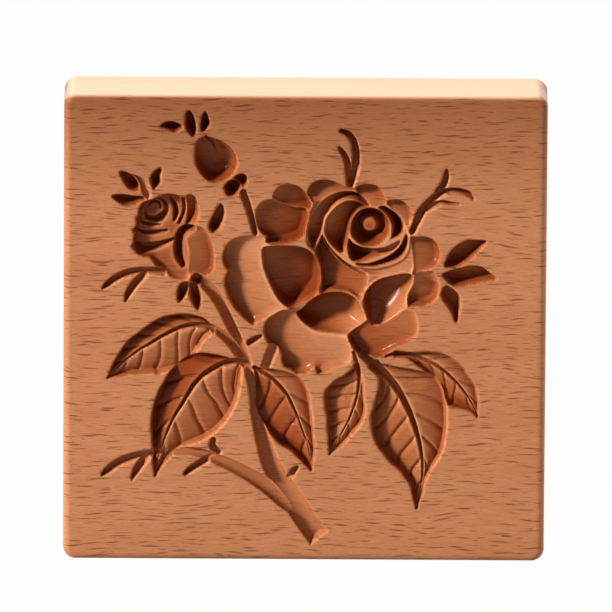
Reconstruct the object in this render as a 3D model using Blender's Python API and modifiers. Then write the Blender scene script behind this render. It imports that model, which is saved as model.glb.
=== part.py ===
"""Wooden cookie press board: one square block of beech with a rose spray carved into its face.

Units are metres and +Z is up. The block stands on its lower edge with its carved face towards -Y.
The origin is under the middle of the block, on the surface that it stands on.
"""

import bmesh
import bpy
import numpy as np

# Driving sizes
SIDE = 0.100            # width and height of the square face
THICKNESS = 0.016       # carved face to plain back
CORNER_ROUND = 0.0026   # radius of the four corners of the square
EDGE_ROUND = 0.0015     # radius sanded onto the long edges
CARVE_DEPTH = 0.0068    # depth that the shares of depth below are taken of
FLOOR_ROUND = 0.0006    # radius that the tool leaves between a wall and a floor
OVERRUN = 0.0006        # how far the cutter stands out of the face

# Ratios and counts
WALL_SLOPE = 3.6        # fall of a carved wall for one step sideways
END_SLOPE = 1.9         # fall of the stem's sawn end, the same way
PATH_STEPS = 4          # points between two knots
RELIEF_CELLS = 280      # cells along each side of the relief cutter
CORNER_SEGMENTS = 5
EDGE_SEGMENTS = 4
FACET_SHARE = 0.058     # share of the relief's facets that is kept
SQUEEZE_SHARE = 0.15    # depth of the relief while its facets are thinned
SHARP_ANGLE = 0.6       # radians; folds sharper than this stay sharp

# Places are in hundredths of SIDE, from the lower left corner of the face, and depths are shares of
# CARVE_DEPTH.
HUNDREDTH_SHARE = 0.01

# Forms of the walls and the leaves, as shares of a width, a depth or a length
CHANNEL_WALL_SHARE = 0.7
WELL_WALL_SHARE = 2.2
LEAF_WALL_SHARE = 0.01
BLADE_RIB_SHARE = 0.18
BLADE_RIM_SHARE = 0.50
VEIN_SHARE = 0.26
VEIN_LEAN_SHARE = 0.20
VEIN_START_SHARE = 0.30
VEIN_JUMP_SHARE = 0.14
MIDRIB_SHARE = 0.12

# Hollows: name, depth at the rim, depth at the shallow and at the deep side, bearing of the deep side
# in degrees, width of the rounded wall, and the outline: across, up.
HOLLOW_SHARES = [
    ("rose_basin", 0.16, 0.20, 0.46, 190, 1.0, [
        (50.6, 68.2), (50.7, 71.2), (51.4, 75.2), (52.6, 77.2), (55, 79), (58.5, 79.8), (61.3, 79),
        (63.2, 76.5), (65, 76.4), (67.2, 76.5), (69.6, 74.4), (70.6, 72), (71.5, 69.5), (71.8, 66),
        (72, 62.2), (68.5, 61.6), (65, 60.6), (62.7, 58.2), (61.4, 56.2), (57, 58), (53.4, 57.8),
        (53.2, 60.7), (52.9, 64.6), (51.9, 66.9)]),
    ("rose_top_middle", 0, 0.12, 0.34, 100, 1.3, [
        (50.4, 78.2), (50.5, 79.8), (51.5, 81.2), (53.5, 82), (55.8, 81.7), (58.2, 80.6), (60.2, 80.2),
        (61, 78.5), (57, 77), (52.5, 76.5)]),
    ("rose_top_right", 0, 0.08, 0.36, 90, 1.3, [
        (60.2, 80.1), (61.6, 80.9), (63.2, 81.1), (65, 80.6), (66.1, 79.2), (66.9, 77.4), (67, 75.5),
        (63, 75), (61, 78)]),
    ("rose_right_back", 0, 0.10, 0.30, 60, 1.0, [
        (66.6, 77.2), (68.2, 77.8), (70, 77.6), (71.5, 76.3), (72.2, 74.6), (72.1, 73), (71.4, 72),
        (69.5, 72.5), (67.5, 75)]),
    ("rose_top_left", 0, 0.14, 0.44, -40, 1.4, [
        (43.4, 77.7), (43.4, 79), (44.5, 80.5), (46.2, 81), (48.2, 80.7), (49.8, 79.6), (50.8, 78.2),
        (51.4, 76.4), (50.2, 75.6), (46, 76)]),
    ("rose_left_back", 0, 0.14, 0.44, -25, 1.8, [
        (43.6, 77.7), (41.9, 77.6), (40.5, 76.7), (39.6, 75), (39.5, 73), (40.1, 71.3), (41.3, 70.1),
        (41.9, 69.6), (41.8, 68.3), (43.5, 67.9), (46, 68.1), (48.2, 68.7), (49.7, 69.7), (50.3, 71.3),
        (50.7, 73.3), (50.6, 75), (50, 75.9), (48, 76.1), (46, 76.8)]),
    ("rose_left", 0, 0.06, 0.42, 225, 2.0, [
        (41.6, 69.6), (38.5, 70), (35.6, 69.4), (33.8, 68), (32.9, 65.6), (33.2, 63.5), (33.9, 62.2),
        (33.3, 60.6), (33.6, 58), (35, 54.9), (37.3, 52.2), (39.3, 50.7), (40.3, 51.3), (42.4, 52.3),
        (45, 53.5), (48, 53.5), (47, 58), (44, 62), (43, 67)]),
    ("rose_dark_bowl", 0.14, 0.46, 0.98, -15, 1.2, [
        (41.3, 67.1), (43.5, 67.5), (46.5, 67.6), (49.5, 67.2), (51.3, 66.2), (52.6, 64.5), (53.2, 62.2),
        (53.2, 59.9), (52.6, 58.1), (51, 56.5), (49.3, 55), (47.9, 54.1), (46.3, 54.5), (44.4, 56.1),
        (42.6, 59.4), (41.5, 62.2), (41.1, 64.8)]),
    ("rose_foot_left", 0, 0.06, 0.44, 225, 2.2, [
        (42.5, 52.3), (41.7, 51), (41.5, 49.3), (41.9, 47.7), (43, 46.3), (44.7, 45.4), (45.2, 44),
        (45.3, 42.7), (46, 41.6), (47.3, 40.9), (48.7, 40.2), (50.5, 40.4), (52.1, 41.4), (52.7, 40.3),
        (54.3, 40.5), (56.5, 41.5), (58.4, 42.1), (59.5, 43), (59.9, 44.7), (59.4, 46.8), (58.9, 48.8),
        (60, 51), (56, 54), (50, 56), (47.4, 54.3), (45.3, 54), (43.5, 53)]),
    ("rose_right_foot", 0, 0.08, 0.46, 225, 2.0, [
        (59, 48.9), (59.3, 47.3), (60.2, 45.7), (61.6, 44.2), (63.5, 43.6), (65.7, 43.9), (67.5, 44.9),
        (69.5, 46.2), (71.5, 47.1), (73, 48.2), (73.6, 50), (73.4, 52.3), (72.4, 54.2), (70, 55),
        (66, 53), (62, 51.5)]),
    ("rose_front_bowl", 0.12, 0.46, 0.98, 130, 1.2, [
        (48, 53.2), (49.4, 54.3), (51.4, 56.1), (53.5, 57.3), (56, 57.8), (58.6, 57.5), (60.6, 56.4),
        (61.7, 54.6), (62.6, 52.4), (63, 50.5), (62, 49.3), (59, 48.6), (55.5, 48.6), (52.4, 49),
        (50.3, 50.1), (48.7, 51.6)]),
    ("rose_side_bowl", 0.14, 0.52, 0.98, 170, 1.0, [
        (62.2, 55.9), (62.6, 57.7), (63.8, 59.4), (65.6, 60.6), (68, 61.3), (70.5, 61.8), (72.2, 61.5),
        (72.6, 59.5), (72.2, 57.3), (71.2, 55.1), (69.6, 53), (67.6, 51.2), (65.5, 50), (63.6, 49.9),
        (63.1, 52), (62.6, 53.9)]),
    ("rose_right_upper", 0, 0.12, 0.36, 30, 1.4, [
        (71.6, 69.6), (73.6, 69.9), (75.4, 69.8), (77, 68.9), (77.9, 67.2), (77.9, 65.2), (77.3, 63.8),
        (76.3, 62.9), (74, 61.5), (72.2, 62), (71.6, 66)]),
    ("rose_right_lower", 0, 0.16, 0.52, -60, 1.6, [
        (76.4, 62.6), (77.3, 61.5), (77.9, 59.8), (77.9, 58), (77.3, 56.4), (76, 55.3), (74, 54.8),
        (71.3, 54.9), (71, 57.5), (72.4, 60.5), (73.5, 62.5)]),
    ("heart_dish", 0.18, 0.34, 0.88, -20, 0.9, [
        (54, 70.4), (54.4, 72.8), (55.7, 75.1), (57.6, 76.7), (59.8, 77.2), (61.9, 76.9), (63, 76.2),
        (61.2, 75), (59.6, 73.2), (59, 71.2), (58.7, 69.2), (58.2, 67), (57.6, 66.2), (56.1, 67),
        (54.7, 68.6)]),
    ("heart_under", 0.18, 0.56, 0.95, 170, 0.9, [
        (58.8, 67.8), (60.2, 67.6), (61.8, 67.4), (64.6, 67.3), (67, 67.6), (67.2, 66.6), (65.7, 65.5),
        (63.6, 64.6), (61.5, 64.1), (60.1, 64.1), (59.2, 65.5)]),
    ("heart_wedge", 0.18, 0.30, 0.66, 135, 0.9, [
        (53.7, 68.6), (54.8, 66.9), (56.3, 65), (58.2, 63.4), (60.6, 61.9), (62.8, 61), (60.5, 61),
        (57.5, 61.1), (54.8, 61.4), (53.4, 62.6), (53, 65.5)]),
    ("small_rose_base", 0, 0.20, 0.36, 150, 1.2, [
        (16.4, 76.9), (15.6, 75.6), (15.2, 73.2), (14.6, 70.8), (14.4, 68), (14.8, 66.3), (16.2, 65.3),
        (18, 64.8), (19, 63.4), (20.2, 62.7), (21.5, 61.4), (23.5, 60.4), (25.6, 60.3), (26.5, 62),
        (26.3, 66), (25.5, 70), (26.8, 71.4), (28, 73.6), (28.1, 76), (27.3, 78.1), (26, 78.7),
        (24.9, 77.6), (23.8, 78.4), (22, 78.8), (20, 78.4), (18.6, 77.7)]),
    ("small_calyx_right", 0, 0.08, 0.34, -20, 1.2, [
        (25, 70), (26.4, 71.4), (28.3, 72), (29.8, 71), (30.8, 69), (31.1, 67), (30.3, 64.8), (29, 63.2),
        (27.3, 62.2), (25.3, 62)]),
    ("small_curl", 0.16, 0.30, 0.56, -25, 0.9, [
        (25.3, 77.8), (26.2, 78.3), (27.3, 77.4), (27.8, 75.7), (27.4, 73.7), (26.2, 71.9), (25, 71.5),
        (25.3, 73.4), (25.3, 75.7)]),
    ("leaf_joint", 0, 0.34, 0.56, -40, 1.2, [
        (26.1, 60.3), (26.6, 61.4), (27.6, 61.9), (28.8, 61.3), (29.3, 60.2), (28.8, 59.1), (27.6, 58.8),
        (26.5, 59.2)]),
    ("lower_sepal_left", 0, 0.36, 0.56, 250, 1.0, [
        (25.9, 60), (24.5, 59.8), (23.7, 58.9), (23.4, 57.4), (23.6, 55.8), (24.1, 55.4), (25, 56),
        (25.8, 57.2), (26.2, 58.6)]),
    ("lower_sepal_right", 0, 0.42, 0.66, 265, 1.2, [
        (25.8, 59.6), (25.8, 57.6), (26.4, 55.7), (27.3, 54.3), (28, 53.8), (28.6, 54.8), (28.8, 56.6),
        (28.4, 58.4), (27.6, 59.6)]),
    ("bud_left", 0, 0.50, 0.82, -70, 2.2, [
        (28.2, 90.8), (27.2, 89.6), (26.9, 87.8), (27, 85.6), (27.8, 83.7), (29.2, 82), (30.8, 81.1),
        (32.2, 81.8), (32.3, 84), (31.6, 86.6), (30.4, 89), (29.3, 90.6)]),
    ("bud_right", 0, 0.46, 0.82, -95, 2.4, [
        (29.2, 90.9), (31, 90.8), (33, 90), (34.8, 88.6), (35.9, 86.8), (36.1, 84.9), (35.2, 83.2),
        (33.8, 81.8), (32.2, 81.5), (32, 84), (31.3, 86.6), (30.1, 89.2)]),
    ("bud_calyx_left", 0, 0.50, 0.74, -60, 1.2, [
        (33, 80.1), (33.5, 81.1), (34.7, 81.9), (36, 81.6), (36.9, 80.6), (36.5, 79.2), (35.6, 78.3),
        (34.6, 78.1), (33.6, 78.6)]),
    ("bud_calyx_right", 0, 0.45, 0.66, -60, 1.1, [
        (35, 82.2), (36, 83), (37.2, 83.2), (38.1, 82.4), (38.2, 81.2), (37.4, 80.1), (36.2, 80.4),
        (35.2, 81.2)]),
    ("bud_sepal_left", 0, 0.38, 0.58, -80, 0.9, [
        (19.9, 93.2), (20.9, 94.1), (22.3, 94.3), (23.7, 93.9), (24.8, 93), (24, 92.1), (22.9, 91.7),
        (21.6, 92.2)]),
    ("bud_sepal_middle", 0, 0.42, 0.64, -80, 1.1, [
        (25, 92.9), (24.9, 94.9), (25.3, 96.4), (26.2, 96.5), (27.1, 95.3), (27.6, 93.6), (27.6, 91.9),
        (27, 90.9), (26, 91.4)]),
    ("bud_sepal_right", 0, 0.38, 0.58, -70, 0.9, [
        (28.2, 92.4), (28.1, 94), (28.5, 95.6), (29.2, 96.4), (29.9, 95.6), (30.4, 93.9), (30.1, 92.9),
        (29.1, 92)]),
    ("small_sepal_upper", 0, 0.38, 0.60, -70, 1.2, [
        (11.4, 83.4), (12, 81.7), (12.9, 80.2), (14.2, 79.3), (15.6, 79.3), (15.9, 80.4), (15.1, 82),
        (13.7, 83.1), (12.5, 83.5)]),
    ("small_sepal_joint", 0, 0.14, 0.30, 190, 1.0, [
        (13.8, 83), (15.5, 82.5), (17, 81.6), (17.9, 80.3), (18.2, 78.8), (17.6, 77.5), (16.6, 78.2),
        (15.8, 79.8), (15.2, 81.5)]),
    ("small_sepal_left", 0, 0.36, 0.58, -70, 0.9, [
        (9.9, 78), (10.6, 78.6), (12.4, 78.6), (14.6, 78.3), (16.4, 78.2), (17, 77.4), (16, 76.8),
        (14.8, 76.1), (13.2, 75.9), (11.6, 76.5)]),
    ("small_sepal_top", 0, 0.38, 0.56, -70, 1.0, [
        (17.8, 81.2), (17.9, 82.6), (18.8, 83.8), (20, 84.4), (20.4, 83.8), (20.2, 82.3), (20.2, 80.9),
        (19.3, 79.9), (18.5, 79.7)]),
    ("small_sepal_right", 0, 0.36, 0.58, -70, 1.2, [
        (29.9, 71.6), (30.2, 73.1), (31, 74.7), (31.8, 76.3), (32.6, 76.8), (33.3, 75.9), (33.5, 74.2),
        (33, 72.3), (32, 70.8), (30.8, 70.5)]),
    ("right_sepal_upper", 0, 0.40, 0.62, -60, 1.4, [
        (78.9, 63.4), (79.2, 65.3), (80.2, 67), (81.7, 68.4), (83.6, 69.2), (85.8, 69.3), (87.7, 69),
        (86.9, 67.5), (85.2, 65.6), (83.2, 64), (81.2, 63.1)]),
    ("right_sepal_middle", 0, 0.36, 0.62, -80, 1.3, [
        (78.3, 61.6), (80, 62.7), (82.4, 63.4), (84.8, 63.8), (86.8, 63.5), (88.4, 62.3), (89.8, 61.2),
        (89.2, 60.5), (87.2, 60.1), (84.6, 59.5), (82, 59.1), (80.3, 59.5)]),
    ("right_sepal_lower", 0, 0.34, 0.60, 225, 1.3, [
        (78.2, 58.4), (78.3, 56.6), (79.5, 54.9), (80.5, 53.2), (81, 51.8), (81.7, 51.5), (82.1, 53),
        (82.5, 55), (82.3, 57.2), (81, 58.6), (79.3, 59.5)]),
]

# Channels: name, depth at the rim, depth along the left and along the right side (walking along the
# knots), and the knots: across, up, half width.
CHANNEL_SHARES = [
    ("rose_left_wedge", 0.20, 0.80, 0.50, [
        (50, 73.2, 0.5), (49.3, 71.3, 1.1), (47.6, 69.8, 1.4), (45, 69, 1.1), (42.8, 68.7, 0.5)]),
    ("rose_left_crease", 0.20, 0.56, 0.56, [(43.6, 73, 0.3), (42.9, 71.6, 0.5), (42.2, 70.2, 0.4)]),
    ("heart_outer", 0.14, 0.40, 0.92, [
        (51.3, 67.4, 0.6), (51.4, 70.6, 1.35), (52.4, 73.8, 1.5), (54.2, 76.3, 1.45), (56.8, 78.1, 1.3),
        (59.6, 78.6, 1.1), (61.5, 77.9, 0.7)]),
    ("heart_inner_fold", 0.30, 0.90, 0.90, [
        (58.4, 71.4, 0.4), (58.7, 73.6, 0.6), (59.7, 75.3, 0.6), (61, 76.2, 0.4)]),
    ("heart_right", 0.16, 0.82, 0.98, [
        (65.6, 76, 0.4), (67.3, 75.4, 0.95), (68.7, 74, 1.25), (69.3, 72.2, 1.3), (69, 70.7, 1.1),
        (68.2, 69.5, 0.5)]),
    ("heart_shelf_right", 0.24, 0.64, 0.36, [
        (65.5, 66.6, 0.6), (67.6, 67.3, 1.0), (69.2, 68.7, 0.8), (69.8, 70.3, 0.4)]),
    ("heart_sweep", 0.22, 0.90, 0.52, [
        (61, 63.4, 0.35), (63.5, 63.6, 0.5), (66.2, 64, 0.7), (68.6, 64.9, 0.9), (70.1, 66.4, 0.95),
        (70.9, 68.4, 0.75), (71, 70.2, 0.4)]),
    ("heart_shelf", 0.22, 0.64, 0.32, [
        (62.6, 62.1, 0.5), (65, 62.4, 0.8), (68, 62.6, 0.9), (70.5, 63.3, 1.2), (71.4, 64.7, 0.7)]),
    ("heart_swoosh", 0.22, 0.52, 0.52, [
        (54.1, 68.9, 0.3), (55.6, 66.6, 0.35), (57.4, 64.6, 0.35), (59.6, 62.9, 0.35),
        (61.8, 61.7, 0.25)]),
    ("small_black_band", 0.30, 0.86, 0.86, [
        (26.6, 71.2, 0.5), (25.2, 70.8, 0.9), (24.1, 69.4, 1.0), (23.8, 67.2, 1.05), (24, 64.9, 0.9),
        (24.8, 63.1, 0.5)]),
    ("small_crescent", 0.22, 0.70, 0.90, [
        (16.9, 74.4, 0.5), (17.3, 73.1, 0.8), (18.6, 72.7, 1.0), (20.2, 73.2, 1.15), (21.2, 74.7, 0.8),
        (20.9, 76.4, 0.6), (19.8, 77.2, 0.4)]),
    ("small_centre", 0.22, 0.66, 0.66, [
        (17.4, 75.5, 0.4), (18.4, 76.5, 0.5), (19.7, 76.3, 0.5), (20.1, 75.2, 0.4)]),
    ("small_fold", 0.24, 0.74, 0.74, [
        (22, 77.5, 0.4), (22.9, 76.1, 0.7), (23.3, 74.3, 0.8), (22.9, 72.7, 0.5)]),
    ("small_curl_edge", 0.24, 0.70, 0.70, [
        (24.7, 77.3, 0.4), (25, 75.5, 0.5), (24.6, 73.7, 0.5), (23.9, 72.1, 0.5)]),
    ("small_band_top", 0.24, 0.70, 0.70, [
        (15.6, 73.3, 0.4), (16.2, 72.2, 0.6), (17.8, 71.7, 0.5), (20, 71.6, 0.4)]),
    ("small_band_middle", 0.24, 0.70, 0.70, [
        (15, 70.8, 0.4), (16.5, 70.1, 0.6), (19, 70, 0.7), (21.4, 70.4, 0.5)]),
    ("small_band_foot", 0.26, 0.78, 0.78, [
        (15.2, 67.5, 0.7), (17, 66.9, 1.1), (19.5, 67.2, 1.0), (22, 68.2, 0.6), (22.9, 68.7, 0.4)]),
]

# Round-bottomed stems, twigs and thorns: name, depth, and the knots: across, up, half width.
STEM_SHARES = [
    ("main_stem", 0.30, [
        (28.5, 60.3, 1.2), (30.3, 58.6, 1.3), (32.3, 55.8, 1.25), (34.2, 52, 1.2), (35.9, 48.3, 1.15),
        (37.3, 45, 1.15), (38.4, 41.5, 1.15), (39.2, 38, 1.1), (39.7, 34.5, 1.1), (40.2, 31, 1.25),
        (41, 28, 1.5), (41.9, 25, 1.75), (42.8, 22, 1.95), (44.2, 19, 2.1), (46.3, 15.8, 2.25),
        (48.6, 12, 2.4), (50.9, 8.4, 2.4), (53.4, 4.8, 2.35)]),
    ("side_branch", 0.26, [
        (8.2, 18.3, 0.4), (9.2, 19.2, 0.85), (10.8, 20.5, 0.95), (12.7, 21.5, 1.0), (15, 22.3, 1.0),
        (18, 22.9, 1.0), (22, 23.4, 1.0), (26, 23.5, 1.0), (29.5, 22.8, 1.1), (33, 21.4, 1.25),
        (36.5, 19.7, 1.4), (40, 17.7, 1.55), (43.3, 15.4, 1.7), (46, 13, 1.7)]),
    ("branch_thorn_left", 0.28, [
        (14.3, 17.1, 0.1), (14.5, 17.8, 0.45), (15.1, 19, 0.85), (16, 20.5, 1.0), (17.2, 22.2, 1.0)]),
    ("branch_thorn_middle", 0.30, [
        (25.5, 18.7, 0.6), (26.8, 19.8, 0.85), (28.4, 20.8, 0.9), (30.2, 21.9, 0.8)]),
    ("branch_thorn_upper", 0.28, [(31.2, 25.9, 0.75), (31.1, 24.6, 0.85), (32.2, 23.2, 0.9)]),
    ("branch_thorn_right", 0.20, [(35, 19.4, 0.2), (34.8, 20.2, 0.5)]),
    ("stem_thorn", 0.28, [(48.6, 20.1, 0.5), (47.9, 19.3, 0.8), (47, 18, 0.9), (46, 16.5, 1.0)]),
    ("left_twig", 0.30, [
        (8.2, 58.5, 0.35), (9.2, 59.3, 0.8), (10.8, 60.5, 0.9), (12.8, 61.5, 0.95), (15.2, 62.1, 0.95),
        (18, 62.2, 0.95), (20.8, 62, 0.95)]),
    ("left_twig_fork", 0.32, [
        (12.9, 55.7, 0.3), (13.4, 57.1, 0.8), (14.3, 58.7, 1.0), (15.6, 60.3, 1.0), (17, 61.6, 0.8)]),
    ("back_stem", 0.20, [(43.6, 46, 1.2), (42.6, 43.5, 1.15), (41.8, 41, 1.1), (41, 39, 1.0)]),
    ("small_thorn", 0.28, [(40.9, 48.3, 0.5), (39.7, 47.6, 0.8), (38.6, 46.9, 0.8)]),
    ("bud_stem", 0.32, [
        (37.2, 79, 0.9), (37.9, 77, 0.9), (38.6, 74.8, 0.85), (39.2, 72.5, 0.8), (39.7, 70.3, 0.7)]),
    ("top_twig", 0.36, [
        (57.3, 92.4, 0.5), (58.7, 91.8, 0.75), (59.8, 90.5, 0.9), (60.3, 88.8, 0.95), (60.5, 86.8, 0.95),
        (60.2, 84.5, 1.1), (59.7, 82.5, 1.1), (59.3, 80.8, 0.9)]),
    ("top_twig_fork", 0.32, [
        (57, 88.8, 0.4), (58, 87.3, 0.75), (58.7, 85.6, 0.85), (59, 83.5, 0.95), (59.2, 81.5, 0.95)]),
    ("right_twig", 0.34, [
        (84.8, 78, 0.35), (84, 78.9, 0.7), (82, 79.6, 0.75), (79.5, 79.6, 0.8), (77.5, 78.8, 0.9),
        (75.5, 77, 1.0), (74, 75, 1.1), (73.1, 73, 1.0), (72.2, 70.9, 0.8)]),
    ("right_twig_upper", 0.34, [(79.2, 84, 0.45), (79.1, 82.6, 0.8), (78.6, 81, 0.9), (77.6, 79.4, 1.0)]),
    ("right_twig_lower", 0.26, [
        (81.8, 76.9, 0.3), (80, 77, 0.5), (78.3, 77.2, 0.6), (76.5, 76.6, 0.8), (75, 75.6, 0.8)]),
    ("far_left_stalk", 0.34, [
        (37.5, 42.8, 0.9), (36.3, 44.8, 1.05), (35, 46.6, 1.05), (33.4, 48.3, 1.0), (31.5, 49.6, 0.9),
        (29.5, 50.2, 0.7)]),
    ("middle_right_stalk", 0.26, [
        (60.2, 44.9, 0.45), (60.7, 43.3, 0.5), (61.1, 41.5, 0.55), (61.4, 39.5, 0.5)]),
    ("right_stalk", 0.42, [(61.8, 44.4, 0.7), (63.1, 43.5, 0.95), (64.8, 42, 1.05)]),
    ("far_right_stalk", 0.22, [(67, 44.2, 0.4), (69, 44.7, 0.6), (71, 44.6, 0.6)]),
]

# Leaves run from base to tip: name, depth, number of side veins, the midrib's half width at base and
# tip, and knots on the midrib: across, up, half width to the left and to the right.
LEAF_SHARES = [
    ("leaf_far_left", 0.36, 6, 0.8, 0.35, [
        (31.2, 49.6, 1.2, 0.4), (29.5, 50.2, 4.6, 1.6), (27.5, 50.4, 5.8, 2.4), (25, 50, 7.0, 3.1),
        (22.5, 49, 8.0, 3.9), (20, 47.6, 7.8, 3.9), (17.5, 46, 6.8, 3.6), (15.5, 44.8, 5.9, 3.3),
        (13, 42.8, 3.9, 2.3), (11, 40.9, 2.0, 1.3), (9.3, 39.2, 0.2, 0.2)]),
    ("leaf_left", 0.42, 7, 0.85, 0.35, [
        (37.6, 42, 2.4, 0.3), (36.2, 42.5, 5.0, 0.8), (35, 42.4, 7.0, 1.2), (33, 41.9, 8.8, 2.6),
        (31, 40.9, 9.4, 4.5), (29, 39.5, 9.6, 5.7), (27.2, 37.6, 9.8, 6.0), (26, 35.6, 9.5, 5.9),
        (24.8, 33.5, 8.8, 5.9), (23.5, 31.4, 8.1, 5.3), (22.3, 29, 6.4, 4.4), (21.3, 26.5, 4.5, 3.2),
        (20.3, 23.5, 2.8, 1.9), (19.6, 21, 1.3, 1.1), (19.2, 18.2, 0.2, 0.2)]),
    ("leaf_middle_left", 0.42, 6, 0.35, 0.2, [
        (39.6, 41.2, 0.4, 0.8), (41, 40.5, 1.2, 3.4), (42.7, 39.5, 2.2, 5.6), (44.2, 38.2, 3.5, 6.9),
        (45.5, 36.8, 4.4, 7.5), (46.6, 35.3, 4.6, 7.8), (47.5, 33.5, 4.2, 7.7), (48.4, 31.5, 3.5, 7.3),
        (49.2, 29.3, 2.9, 6.5), (49.9, 27.3, 2.3, 5.6), (50.7, 25, 1.7, 3.9), (51.2, 22.5, 1.1, 2.4),
        (51.5, 19.6, 0.2, 0.2)]),
    ("leaf_middle_right", 0.38, 7, 0.5, 0.25, [
        (60.9, 42, 0.6, 0.8), (61.3, 40, 0.8, 4.0), (61.3, 38, 1.1, 5.7), (61.1, 36, 1.5, 6.7),
        (60.7, 34.2, 2.2, 6.9), (60, 32, 2.9, 6.3), (59.2, 30, 2.7, 5.3), (58.3, 28.2, 2.1, 4.1),
        (57.3, 26.3, 1.7, 2.9), (56.3, 24.6, 1.0, 1.5), (55.4, 23.1, 0.2, 0.2)]),
    ("leaf_right", 0.44, 8, 1.0, 0.45, [
        (64.5, 42.3, 0.8, 0.6), (66.8, 40, 3.0, 2.0), (68.5, 38, 5.6, 4.8), (70, 35.8, 8.2, 7.1),
        (71.2, 33.5, 8.6, 8.3), (72.2, 31.3, 8.0, 8.9), (73, 29, 7.2, 9.0), (73.6, 27, 6.5, 8.7),
        (74.1, 25, 5.5, 8.1), (74.5, 22.5, 4.3, 7.1), (74.7, 20.2, 2.3, 5.5), (74.6, 18, 1.1, 4.0),
        (74.3, 16, 0.9, 2.4), (73.9, 14, 0.8, 1.4), (73.5, 11.6, 0.2, 0.2)]),
    ("leaf_far_right", 0.30, 6, 0.6, 0.3, [
        (69, 44.6, 0.5, 0.5), (72, 44.3, 0.9, 1.0), (74.5, 43.5, 1.9, 1.8), (77, 42.4, 2.9, 2.6),
        (79, 41, 3.5, 3.2), (80.7, 39.4, 3.5, 3.2), (82.2, 37.8, 3.1, 4.3), (83.5, 36.1, 2.8, 4.2),
        (84.6, 34.4, 1.9, 2.8), (85.4, 32.8, 1.0, 1.0), (85.9, 31.4, 0.2, 0.2)]),
]

# The well in the heart leaves a knob standing: depths of its rim, of its floor and of the knob's top, the
# centre across and up, and the radii of the knob, of its foot and of the well.
WELL_SHARES = (0.22, 0.98, 0.42, 63.4, 71.6, 0.7, 2.0, 4.35)

# The sawn lower end of the main stem: a point on it, and the stem's bearing in degrees.
STEM_END_SHARES = (53.4, 4.8)
STEM_END_BEARING = -53

# The relief cutter covers this part of the face: lowest and highest, across and up.
RELIEF_WINDOW_SHARES = ((6.5, 91.5), (2.0, 97.5))

BEECH_COLOUR = (0.44, 0.20, 0.09, 1.0)
BEECH_ROUGHNESS = 0.45


def soft_min(a, b, radius):
    """The smaller of two depths, with the corner between them rounded."""
    blend = np.clip(0.5 + 0.5 * (b - a) / radius, 0, 1)
    return b * (1 - blend) + a * blend - radius * blend * (1 - blend)


def smooth_path(knots, closed=False):
    """A curve through the knots, as rows of points and half widths in metres."""
    knots = np.array(knots, float) * HUNDREDTH_SHARE * SIDE
    if closed:
        ends = np.vstack([knots[-1:], knots, knots[:2]])
    else:
        ends = np.vstack([2 * knots[0] - knots[1], knots, 2 * knots[-1] - knots[-2]])
    steps = np.linspace(0, 1, PATH_STEPS, endpoint=False)[:, None]
    rows = []
    for p, q, r, s in zip(ends, ends[1:], ends[2:], ends[3:]):
        rows.append(0.5 * (2 * q + (r - p) * steps + (2 * p - 5 * q + 4 * r - s) * steps**2
                           + (3 * q - p - 3 * r + s) * steps**3))
    path = np.vstack(rows + [ends[-2:-1]])
    path[:, 2:] = np.maximum(path[:, 2:], 0)
    return path


def round_wall(inside, reach):
    """A quarter ellipse: 0 at the rim and 1 from reach inwards."""
    share = np.clip(inside / reach, 0, 1)
    return np.sqrt(share * (2 - share))


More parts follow.
